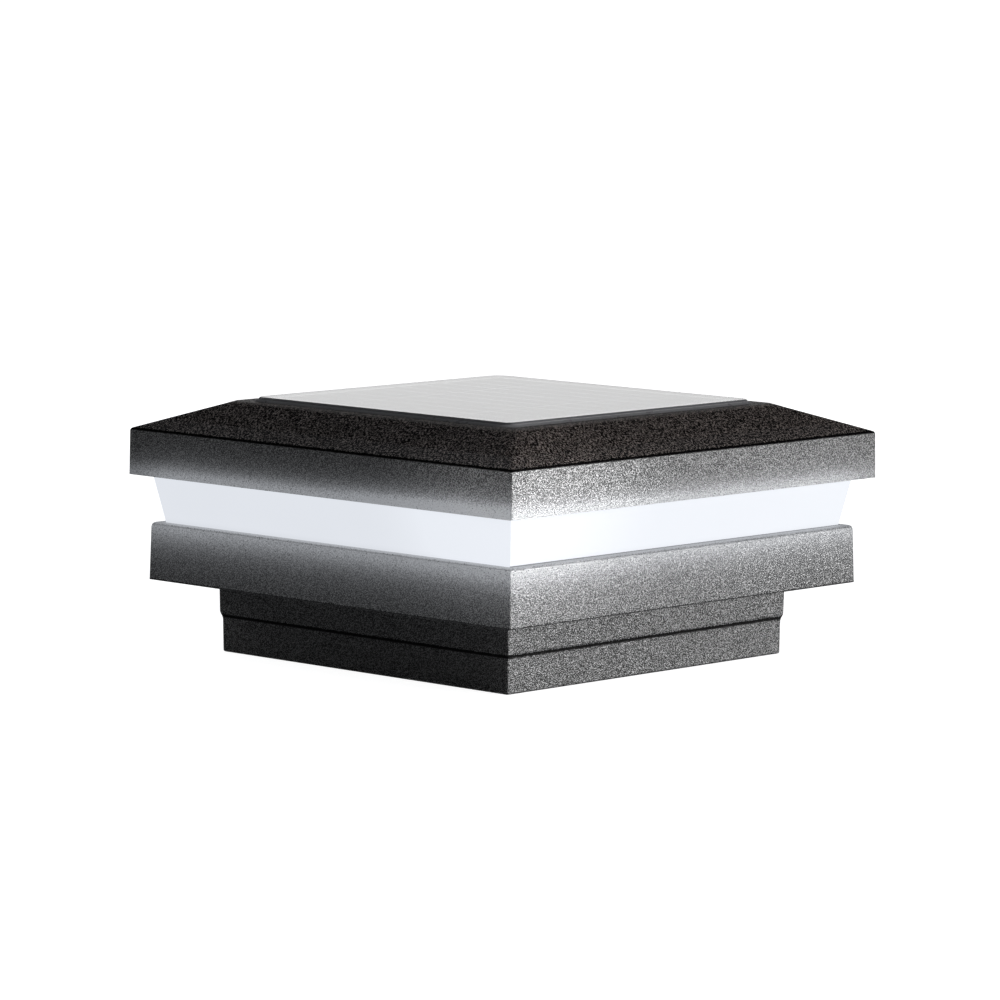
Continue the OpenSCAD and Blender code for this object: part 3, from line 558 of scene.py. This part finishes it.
def powder_coat(coat, band):
    """Black coat with a fine worm-like grain, matte pits, painted shade lines and the band's halo
    painted on as a glow.
    """
    nodes = new_finish("textured_coat_painted_glow")
    place = CastingPlace(nodes)
    grain, pits = coat_grain(nodes, coat, place)
    broad = nodes.noise(9 * MM, detail=2.0)
    tops = grain.step(0.49, 0.60)
    # On the slopes the grain's tops take the lighter, warmer speck colour: painted light from
    # above.
    light = nodes.mix(place.sloped, coat.grain_colour, coat.slope_speck_painted_light)
    skin = nodes.mix(tops * (0.8 + 0.4 * broad), coat.coat_colour, light)

    # The band's halo is light painted on the castings as emission.
    halo = painted_band_halo(band, place)
    speckle = grain.step(0.35, 0.65) * 0.5 - 0.28 - 0.5 * pits
    lit = halo * (1.0 + speckle * (1.0 - place.ledge))
    painted_glow = nodes.mix(lit, BLACK, band.glow_colour)

    wide = place.across.step(BAND_HALF, BAND_HALF + 0.1 * MM)
    # Painted shade: dark lines under the eave, along the tray's top edge and foot, and under the
    # skirt's step.
    lines = painted_shade_line(place, grain, "eave").at_least(painted_shade_line(place, grain, "lip"))
    lines = lines.at_least(painted_shade_line(place, grain, "foot")) * wide
    # The pits' matte black also carries the painted shade lines.
    dull = (pits * coat.pit_share).at_least(grain_gaps(coat, place, grain, halo))
    dull = dull.at_least(lines).at_least(painted_shade_line(place, grain, "step"))

    relief = nodes.bump(grain - pits * 0.25, coat.grain_depth)
    coated = nodes.surface(
        skin,
        coat.roughness + (broad - 0.5) * 0.12,
        Normal=relief,
        Emission_Color=painted_glow,
        Emission_Strength=band.halo,
        Specular_IOR_Level=1.0,
        IOR=1.8,
    )
    pits_and_painted_shade = nodes.surface(
        coat.pit_colour,
        0.85,
        Normal=relief,
        Emission_Color=nodes.mix(lines, painted_glow, BLACK),
        Emission_Strength=band.halo,
        Specular_IOR_Level=0.0,
    )
    return nodes.finish(nodes.blend(dull, coated, pits_and_painted_shade))


class CastingsOperator(bpy.types.Operator):
    """Rounds the edges of both castings and coats them"""

    bl_idname = "post_light.castings"
    bl_label = "Castings"

    def execute(self, context):
        coat = context.scene.post_light_coat
        band = context.scene.post_light_band
        dress(powder_coat(coat, band), "roof_casting", "base_casting")
        soften("roof_casting", coat.edge_radius)
        soften("base_casting", coat.edge_radius)
        return {"FINISHED"}


# --------------------------------------------------------------- solar panel


def cell_finish(panel):
    """Dark silicon with thin silver fingers and two busbars to a strip."""
    nodes = new_finish("silicon")
    x, y, _ = nodes.axes()
    lo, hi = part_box("solar_cells")
    cloud = nodes.noise(6 * MM, detail=3.0)
    crystal = nodes.noise(1.5 * MM, detail=1.0, stretch=(1.0, 0.35, 1.0))
    silicon = nodes.mix(cloud * 0.5 + crystal * 0.25, panel.cell_colour, (0.018, 0.026, 0.075))
    pitch = panel.finger_pitch
    finger = abs((y - lo.y) % pitch - pitch / 2).step(
        panel.finger_width / 2 + 0.02 * MM, panel.finger_width / 2
    )
    quarter = (hi.y - lo.y) / 4
    busbar = abs(abs(y) - quarter).step(panel.busbar_width / 2 + 0.04 * MM, panel.busbar_width / 2)
    grid = finger.at_least(busbar)
    shader = nodes.surface(
        nodes.mix(grid, silicon, panel.grid_colour),
        0.32 + grid * 0.1,
        Metallic=grid * 0.85,
        Normal=nodes.bump(crystal * 0.3 + grid, 0.03 * MM),
    )
    return nodes.finish(shader)


def glass_finish(panel):
    """Clear tempered glass with a ground edge, which lets the lamps through to the cells."""
    nodes = new_finish("clear_glass")
    ripple = nodes.noise(14 * MM, detail=1.0)
    haze = nodes.noise(2.5 * MM, detail=3.0)
    glass = nodes.surface(
        panel.glass_tint,
        0.035 + haze * 0.03,
        Transmission_Weight=1.0,
        IOR=1.55,
        Normal=nodes.bump(ripple, 0.02 * MM),
    )
    ground = nodes.surface(
        nodes.mix(haze, panel.edge_colour, tuple(c * 0.7 for c in panel.edge_colour)), 0.6
    )
    x, y, _ = nodes.axes()
    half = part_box("solar_glass")[1].x
    border = abs(x).at_least(abs(y)).step(half - 0.9 * MM, half - 0.6 * MM) * 0.8
    upright = nodes.tilt().step(0.9, 0.5)
    solid = nodes.blend(border.at_least(upright), glass, ground)
    clear = nodes.node("ShaderNodeBsdfTransparent", inputs={0: panel.glass_tint})
    shadow = nodes.node("ShaderNodeLightPath", output="Is Shadow Ray")
    return nodes.finish(nodes.blend(shadow, solid, clear))


def sealant_finish(panel):
    """Grey silicone with a slightly wavy surface."""
    nodes = new_finish("grey_silicone")
    wave = nodes.noise(3 * MM, detail=2.0)
    shader = nodes.surface(
        nodes.mix(wave, tuple(c * 0.8 for c in panel.seal_colour), panel.seal_colour),
        0.22 + wave * 0.15,
        Normal=nodes.bump(wave, 0.15 * MM),
    )
    return nodes.finish(shader)


class PanelOperator(bpy.types.Operator):
    """Finishes the solar panel: glass, sealant, cells and backsheet"""

    bl_idname = "post_light.panel"
    bl_label = "Solar panel"

    def execute(self, context):
        panel = context.scene.post_light_panel
        dress(glass_finish(panel), "solar_glass")
        dress(sealant_finish(panel), "panel_seal")
        dress(cell_finish(panel), "solar_cells")
        laminate = moulded("backsheet_laminate", (0.022, 0.022, 0.026), 0.42, grain=0.8 * MM)
        dress(laminate, "panel_backsheet")
        return {"FINISHED"}


# ------------------------------------------------------------- plain finishes


def moulded(name, base, roughness, grain=0.5 * MM, depth=0.02 * MM, spread=0.18, **constants):
    """A moulded or drawn material whose shade and grain vary a little."""
    nodes = new_finish(name)
    cloud = nodes.noise(11 * MM, detail=3.0)
    fine = nodes.noise(grain, detail=3.0, roughness=0.6)
    darker = tuple(channel * (1 - spread) for channel in base)
    lighter = tuple(min(channel * (1 + spread), 1.0) for channel in base)
    shader = nodes.surface(
        nodes.mix(cloud * 0.6 + fine * 0.4, darker, lighter),
        roughness + (fine - 0.5) * 0.2,
        Normal=nodes.bump(fine, depth),
        **constants,
    )
    return nodes.finish(shader)


def brushed(name, base, roughness, line=0.25 * MM, along=(1.0, 1.0, 0.08), depth=0.01 * MM):
    """Metal with fine drawn lines along one axis."""
    nodes = new_finish(name)
    lines = nodes.noise(line, detail=2.0, stretch=along)
    cloud = nodes.noise(4 * MM, detail=2.0)
    darker = tuple(channel * 0.82 for channel in base)
    shader = nodes.surface(
        nodes.mix(lines * 0.7 + cloud * 0.3, darker, base),
        roughness + (lines - 0.5) * 0.2,
        Metallic=1.0,
        Normal=nodes.bump(lines, depth),
    )
    return nodes.finish(shader)


# ---------------------------------------------------------------------- band


def opal_finish(band):
    """Opal plastic lit from behind, a little dimmer at its edges by painted shade, and brighter at
    the front by painted light.
    """
    nodes = new_finish("opal_band")
    x, y, z = nodes.axes()
    cloud = nodes.noise(16 * MM, detail=2.0)
    fine = nodes.noise(0.6 * MM, detail=2.0)
    # Painted shade dims the glow at the band's foot and under the rim; painted light brightens it
    # at the front corner, most on the left face.
    foot = z.step(DECK_TOP - 0.2 * MM, DECK_TOP + 1.4 * MM)
    head = z.step(RIM_FOOT + 0.6 * MM, RIM_FOOT - 1.2 * MM)
    front = (-1.0 * x - y).step(FRONT_START, 2 * BAND_HALF)
    left = (abs(x) - abs(y)).step(-2 * MM, 2 * MM)
    bright = front * front * (0.05 + 0.17 * left)
    even = 0.84 + 0.04 * foot + 0.03 * head + 0.02 * cloud + bright
    shader = nodes.surface(
        nodes.mix(cloud, band.opal_colour, tuple(c * 1.04 for c in band.opal_colour)),
        0.65 + fine * 0.1,
        Normal=nodes.bump(fine, 0.01 * MM),
        Emission_Color=nodes.mix(even, BLACK, band.glow_colour),
        Emission_Strength=band.glow,
        Specular_IOR_Level=0.2,
    )
    return nodes.finish(shader)


class BandOperator(bpy.types.Operator):
    """Finishes the opal band and its two gaskets"""

    bl_idname = "post_light.band"
    bl_label = "Lit band"

    def execute(self, context):
        dress(opal_finish(context.scene.post_light_band), "diffuser")
        soften("diffuser", 0.3 * MM)
        foam = moulded(
            "gasket_foam", (0.045, 0.045, 0.05), 0.85, grain=0.3 * MM, depth=0.08 * MM, spread=0.3
        )
        dress(foam, "upper_gasket", "lower_gasket", "door_gasket", "screw_washers")
        return {"FINISHED"}


# ---------------------------------------------------------------------- core


def led_finish(name, base, glow):
    """Pale plastic or phosphor that glows a little."""
    nodes = new_finish(name)
    cloud = nodes.noise(0.5 * MM, detail=2.0)
    tint = nodes.mix(cloud, tuple(c * 0.9 for c in base), base)
    shader = nodes.surface(tint, 0.3 + cloud * 0.1, Emission_Color=tint, Emission_Strength=glow)
    return nodes.finish(shader)


def laminate_finish():
    """White solder mask with faint copper tracks under it."""
    nodes = new_finish("white_solder_mask")
    tracks = nodes.noise(2.4 * MM, detail=0.0, stretch=(0.3, 0.3, 1.0)).step(0.49, 0.51)
    fine = nodes.noise(0.3 * MM, detail=2.0)
    shader = nodes.surface(
        nodes.mix(tracks, (0.74, 0.76, 0.74), (0.66, 0.69, 0.66)),
        0.34 + fine * 0.1,
        Normal=nodes.bump(tracks, 0.03 * MM),
    )
    return nodes.finish(shader)


def lens_caps(shape):
    """A low round dome on the outer face of each LED."""
    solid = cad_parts["leds"].data
    probe = bmesh.new()
    probe.from_mesh(solid)
    bmesh.ops.remove_doubles(probe, verts=probe.verts, dist=1e-6)
    left = set(probe.verts)
    while left:
        island, todo = set(), [left.pop()]
        while todo:
            corner = todo.pop()
            island.add(corner)
            for edge in corner.link_edges:
                other = edge.other_vert(corner)
                if other in left:
                    left.discard(other)
                    todo.append(other)
        middle = sum((v.co for v in island), Vector()) / len(island)
        along_x = abs(middle.x) > abs(middle.y)
        outward = Vector((middle.x, 0, 0) if along_x else (0, middle.y, 0)).normalized()
        reach = max((v.co - middle).dot(outward) for v in island)
        dome_at(shape, middle + outward * reach, outward, radius=1.15 * MM, rise=0.2 * MM)
    probe.free()


def dome_at(shape, foot, axis, radius, rise, rings=4, sides=20):
    """A shallow closed dome that stands on a face."""
    side = axis.orthogonal().normalized()
    across = axis.cross(side)
    loops = []
    for i in range(rings):
        climb = math.pi / 2 * i / rings
        middle = foot + axis * rise * math.sin(climb)
        loops.append(ring(shape, middle, side, across, radius * math.cos(climb), sides))
    for one, two in zip(loops, loops[1:]):
        wall(shape, one, two)
    top = shape.verts.new(foot + axis * rise)
    for k in range(sides):
        shape.faces.new((loops[-1][k], loops[-1][(k + 1) % sides], top))
    shape.faces.new(list(reversed(loops[0])))


class CoreOperator(bpy.types.Operator):
    """Finishes the white housing and its LED boards, with a dome on each LED"""

    bl_idname = "post_light.core"
    bl_label = "Light core"

    def execute(self, context):
        inner = context.scene.post_light_inner
        white = moulded("white_housing", inner.housing_colour, 0.45, grain=0.4 * MM, spread=0.05)
        dress(white, "light_core")
        dress(laminate_finish(), "led_boards")
        dress(led_finish("led_package", (0.92, 0.92, 0.88), 0.5), "leds")
        phosphor = led_finish("led_phosphor", (0.95, 0.86, 0.42), 1.0)
        new_piece("led_domes", lens_caps, phosphor)
        return {"FINISHED"}


# --------------------------------------------------------------- electronics


def board_finish(inner):
    """Green solder mask over copper tracks."""
    nodes = new_finish("green_solder_mask")
    wide = nodes.noise(3.2 * MM, detail=0.0, stretch=(0.25, 1.0, 1.0)).step(0.52, 0.54)
    tall = nodes.noise(3.0 * MM, detail=0.0, stretch=(1.0, 0.25, 1.0)).step(0.56, 0.58)
    tracks = wide.at_least(tall)
    fine = nodes.noise(0.4 * MM, detail=2.0)
    shader = nodes.surface(
        nodes.mix(tracks * 0.8 + fine * 0.2, inner.board_colour, (0.03, 0.21, 0.09)),
        0.28 + fine * 0.12,
        Normal=nodes.bump(tracks, 0.035 * MM),
    )
    return nodes.finish(shader)


def sleeve_finish(inner):
    """Shrink sleeve with a plain pale ring at the plus end, and bare metal at the ends."""
    nodes = new_finish("shrink_sleeve")
    x, _, _ = nodes.axes()
    lo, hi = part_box("battery_cell")
    fine = nodes.noise(1.2 * MM, detail=3.0, stretch=(0.2, 1.0, 1.0))
    pale = x.step(hi.x - 6.0 * MM, hi.x - 5.9 * MM) * x.step(hi.x - 2.4 * MM, hi.x - 2.5 * MM)
    plus = x.step(hi.x - 1.7 * MM, hi.x - 1.6 * MM)
    minus = x.step(lo.x + 0.5 * MM, lo.x + 0.4 * MM)
    bare = plus.at_least(minus)
    sleeve = nodes.mix(pale, inner.sleeve_colour, (0.72, 0.72, 0.68))
    shader = nodes.surface(
        nodes.mix(bare, sleeve, (0.66, 0.66, 0.65)),
        0.28 + fine * 0.15,
        Metallic=bare,
        Normal=nodes.bump(fine, 0.03 * MM),
    )
    return nodes.finish(shader)


def winding(shape):
    """Turns of copper wire round the waist of the choke."""
    lo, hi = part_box("inductor")
    middle = (lo + hi) / 2
    outer = (hi.x - lo.x) / 2
    wire = 0.19 * MM
    flange = (hi.z - lo.z) / 5
    start, end = lo.z + flange + wire * 1.1, hi.z - flange - wire * 1.1
    turns = int((end - start) / (2.1 * wire))
    steps = 24
    waist = outer * 0.85 + wire * 0.4
    path = []
    for i in range(turns * steps + 1):
        turn = 2 * math.pi * i / steps
        height = start + (end - start) * i / (turns * steps)
        path.append(
            Vector((middle.x + waist * math.cos(turn), middle.y + waist * math.sin(turn), height))
        )
    sweep(shape, path, wire, sides=8)


def chip_legs(shape):
    """Bent legs down both long sides of the control chip."""
    lo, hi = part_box("control_chip")
    legs = 8
    pitch = (hi.x - lo.x) / legs
    width, thick, high = 0.42 * MM, 0.18 * MM, (hi.z - lo.z) * 0.5
    tuck, shoulder, heel, toe = 0.3 * MM, 0.35 * MM, 0.55 * MM, 1.25 * MM
    for side in (-1, 1):
        edge = hi.y if side > 0 else lo.y
        for i in range(legs):
            x = lo.x + (i + 0.5) * pitch
            profile = [
                (edge - side * tuck, lo.z + high),
                (edge + side * shoulder, lo.z + high),
                (edge + side * heel, lo.z + thick),
                (edge + side * toe, lo.z + thick),
            ]
            lower = [(y, z - thick) for y, z in profile]
            rows = []
            for dx in (-width / 2, width / 2):
                rows.append([shape.verts.new((x + dx, y, z)) for y, z in profile + lower[::-1]])
            wall(shape, *rows)
            for row in rows:
                for a in range(3):
                    shape.faces.new((row[a], row[a + 1], row[6 - a], row[7 - a]))


class ElectronicsOperator(bpy.types.Operator):
    """Finishes the control board and what stands on it, with legs and a winding"""

    bl_idname = "post_light.electronics"
    bl_label = "Electronics"

    def execute(self, context):
        inner = context.scene.post_light_inner
        epoxy = moulded("moulded_epoxy", (0.018, 0.018, 0.02), 0.5, grain=0.2 * MM, spread=0.3)
        ferrite = moulded(
            "dark_ferrite", (0.06, 0.052, 0.048), 0.6, grain=0.3 * MM, depth=0.03 * MM, spread=0.3
        )
        red = moulded("red_insulation", inner.red_wire, 0.35, grain=1.5 * MM)
        black = moulded("black_insulation", inner.black_wire, 0.35, grain=1.5 * MM)
        tin = brushed("tinned_metal", (0.62, 0.63, 0.65), 0.28)
        copper = brushed("copper_wire", (0.72, 0.30, 0.16), 0.3)
        dress(board_finish(inner), "control_board")
        dress(epoxy, "control_chip", "chip_resistors")
        dress(ferrite, "inductor")
        dress(brushed("drawn_can", (0.70, 0.71, 0.73), 0.25), "capacitor")
        dress(moulded("natural_nylon", (0.80, 0.77, 0.67), 0.45), "wire_connectors")
        dress(red, "panel_lead_red", "battery_lead_red", "led_lead_red", "led_jumpers")
        dress(black, "panel_lead_black", "battery_lead_black", "led_lead_black")
        new_piece("choke_winding", winding, copper)
        new_piece("chip_legs", chip_legs, tin, smooth=False)
        return {"FINISHED"}


class BatteryOperator(bpy.types.Operator):
    """Finishes the cell, its spring and contacts, and the battery door"""

    bl_idname = "post_light.battery"
    bl_label = "Battery and door"

    def execute(self, context):
        inner = context.scene.post_light_inner
        dress(sleeve_finish(inner), "battery_cell")
        nickel = brushed("nickel_plate", (0.66, 0.65, 0.61), 0.25)
        dress(nickel, "battery_spring", "battery_contacts")
        plastic = moulded(
            "door_plastic",
            (0.017, 0.017, 0.018),
            0.48,
            grain=0.35 * MM,
            depth=0.05 * MM,
            spread=0.25,
        )
        dress(plastic, "battery_door")
        soften("battery_door", 0.2 * MM)
        return {"FINISHED"}


class FastenersOperator(bpy.types.Operator):
    """Finishes all the screws"""

    bl_idname = "post_light.fasteners"
    bl_label = "Fasteners"

    def execute(self, context):
        inner = context.scene.post_light_inner
        steel = brushed("stainless", tuple(inner.steel_colour), 0.3, along=(0.3, 0.3, 1.0))
        dress(steel, "assembly_screws", "door_screws", "board_screws")
        return {"FINISHED"}


class SwitchOperator(bpy.types.Operator):
    """Finishes the switch and its finger piece"""

    bl_idname = "post_light.switch"
    bl_label = "Switch"

    def execute(self, context):
        dress(brushed("tinned_can", (0.55, 0.56, 0.57), 0.35), "switch_body")
        knob = moulded("white_knob", (0.76, 0.76, 0.74), 0.42, grain=0.3 * MM, spread=0.06)
        dress(knob, "switch_slider")
        soften("switch_slider", 0.12 * MM)
        return {"FINISHED"}


# --------------------------------------------------------------------- stage


def floor_finish(stage):
    """Pale floor that looks white, darkens in shadow and isn't there from below."""
    nodes = new_finish("pale_floor")
    x, y, _ = nodes.axes()
    cloud = nodes.noise(0.4, detail=2.0)
    # The floor's own white starts beside the object and is whole half a metre away.
    away = ((x * x + y * y) ** 0.5).step(0.1, 0.5)
    bare = stage.floor_light + (1.0 - stage.floor_light) * away
    seen = nodes.node("ShaderNodeLightPath")
    white = seen.at_least(seen.output("Is Transmission Ray"))
    paint = nodes.mix(cloud, tuple(0.98 * c for c in stage.floor_colour), stage.floor_colour)
    plain = nodes.node("ShaderNodeBsdfDiffuse", inputs={0: paint})
    bright = nodes.node("ShaderNodeEmission", inputs={0: nodes.mix(bare, BLACK, WHITE), 1: 1.0})
    lit = nodes.node("ShaderNodeAddShader", inputs={0: plain, 1: bright})
    below = nodes.node("ShaderNodeNewGeometry", output="Backfacing")
    gone = below.at_least(seen.output("Is Shadow Ray"))
    clear = nodes.node("ShaderNodeBsdfTransparent")
    return nodes.finish(nodes.blend(gone, nodes.blend(white, plain, lit), clear))


def disc(shape, radius, sides=96):
    """A flat round sheet."""
    shape.faces.new(ring(shape, Vector(), Vector((1, 0, 0)), Vector((0, 1, 0)), radius, sides))


def backdrop(stage):
    """A world that is white to the eye and in mirrors near the horizon, and dim elsewhere."""
    world = bpy.data.worlds.new("studio")
    world.use_nodes = True
    bpy.context.scene.world = world
    nodes = Nodes(world.node_tree, world)
    way = nodes.node("ShaderNodeTexCoord", output="Generated")
    height = nodes.node("ShaderNodeSeparateXYZ", inputs={0: way}).output("Z")
    seen = nodes.node("ShaderNodeLightPath")
    mirrored = seen.output("Is Glossy Ray").at_least(seen.output("Is Transmission Ray"))
    band_top, band_start = math.sin(math.radians(20)), math.sin(math.radians(11))
    horizon = 0.03 + stage.horizon * height.step(band_top, band_start)
    around = stage.ambient * height.step(-0.01, 0.0)
    strength = seen + (1.0 - seen) * (mirrored * horizon + (1.0 - mirrored) * around)
    tint = nodes.mix(seen.at_least(mirrored), (0.90, 0.94, 1.0), WHITE)
    light = nodes.node("ShaderNodeBackground", inputs={"Color": tint, "Strength": strength})
    nodes.finish(light, "ShaderNodeOutputWorld")


MIDDLE = Vector((0.0, 0.0, 0.035))
CORNER = Vector((-RIM_HALF, -RIM_HALF, 0.045))

# What each lamp lights, its turn from the camera, its rise (degrees), its distance and
# its size as a share of that distance.
LAMPS = {
    "side_lamp": (MIDDLE, 78, 3, 1.0, 0.3),
    "corner_lamp": (CORNER, -80, 20, 0.06, 0.5),
    "front_lamp": (CORNER, 88, 10, 0.08, 0.5),
    "edge_lamp": (MIDDLE, 42, 4, 1.0, 0.16),
    "back_lamp": (MIDDLE, 180, 8, 0.6, 0.4),
    "left_lamp": (MIDDLE, -120, 25, 1.0, 0.5),
    "top_lamp": (MIDDLE, 0, 89, 1.0, 0.9),
    "under_lamp": (MIDDLE, 0, -90, 0.185, 0.43),
}


def soft_box(stage, name, aim, turn, rise, away, share):
    """A square lamp whose radiance is its strength, whatever its size and distance."""
    lamp = bpy.data.lights.new(name, "AREA")
    lamp.shape = "SQUARE"
    lamp.size = share * away
    lamp.energy = getattr(stage, name) * lamp.size**2 * math.pi
    lamp.spread = math.radians(70 if aim is CORNER else 180)
    facing = math.atan2(stage.camera_place[1], stage.camera_place[0]) + math.radians(turn)
    level = math.cos(math.radians(rise))
    way = Vector(
        (math.cos(facing) * level, math.sin(facing) * level, math.sin(math.radians(rise)))
    )
    box = bpy.data.objects.new(name, lamp)
    box.location = aim + away * way
    box.rotation_euler = (-way).to_track_quat("-Z", "Y").to_euler()
    box.visible_camera = False
    bpy.context.scene.collection.objects.link(box)


class StageOperator(bpy.types.Operator):
    """Sets the floor, the lamps, the white background and the camera"""

    bl_idname = "post_light.stage"
    bl_label = "Stage"

    def execute(self, context):
        stage = context.scene.post_light_stage
        scene = context.scene
        mesh = bpy.data.meshes.new("floor")
        shape = bmesh.new()
        disc(shape, 14.0)
        shape.to_mesh(mesh)
        shape.free()
        mesh.materials.append(floor_finish(stage))
        floor = bpy.data.objects.new("floor", mesh)
        floor.location.z = SKIRT_FOOT
        scene.collection.objects.link(floor)
        backdrop(stage)
        for name, setting in LAMPS.items():
            soft_box(stage, name, *setting)
        camera = bpy.data.cameras.new("camera")
        camera.lens = stage.camera_lens
        camera.sensor_width = 36.0
        camera.clip_end = 60.0
        stand = bpy.data.objects.new("camera", camera)
        stand.location = stage.camera_place
        stand.rotation_euler = stage.camera_turn
        scene.collection.objects.link(stand)
        scene.camera = stand
        scene.view_settings.view_transform = "Standard"
        return {"FINISHED"}


# ------------------------------------------------------------------- sidebar


class PostLightPanel(bpy.types.Panel):
    """Lists the steps that dress the post light"""

    bl_idname = "VIEW3D_PT_post_light"
    bl_label = "Post light"
    bl_space_type = "VIEW_3D"
    bl_region_type = "UI"
    bl_category = "Post light"

    def draw(self, context):
        for settings, group in SETTINGS.items():
            box = self.layout.box()
            owner = getattr(context.scene, settings)
            for name in group.__annotations__:
                box.prop(owner, name)
        for operator in OPERATORS:
            self.layout.operator(operator.bl_idname)


SETTINGS = {
    "post_light_coat": CoatSettings,
    "post_light_band": BandSettings,
    "post_light_panel": PanelSettings,
    "post_light_inner": InnerSettings,
    "post_light_stage": StageSettings,
}

OPERATORS = (
    StageOperator,
    CastingsOperator,
    PanelOperator,
    BandOperator,
    CoreOperator,
    ElectronicsOperator,
    BatteryOperator,
    FastenersOperator,
    SwitchOperator,
)


def register():
    for item in (*SETTINGS.values(), *OPERATORS, PostLightPanel):
        bpy.utils.register_class(item)
    for name, group in SETTINGS.items():
        setattr(bpy.types.Scene, name, bpy.props.PointerProperty(type=group))


def unregister():
    for name in SETTINGS:
        delattr(bpy.types.Scene, name)
    for item in reversed((*SETTINGS.values(), *OPERATORS, PostLightPanel)):
        bpy.utils.unregister_class(item)


def main():
    register()
    for operator in OPERATORS:
        getattr(bpy.ops.post_light, operator.bl_idname.split(".")[1])()


if __name__ == "__main__":
    main()
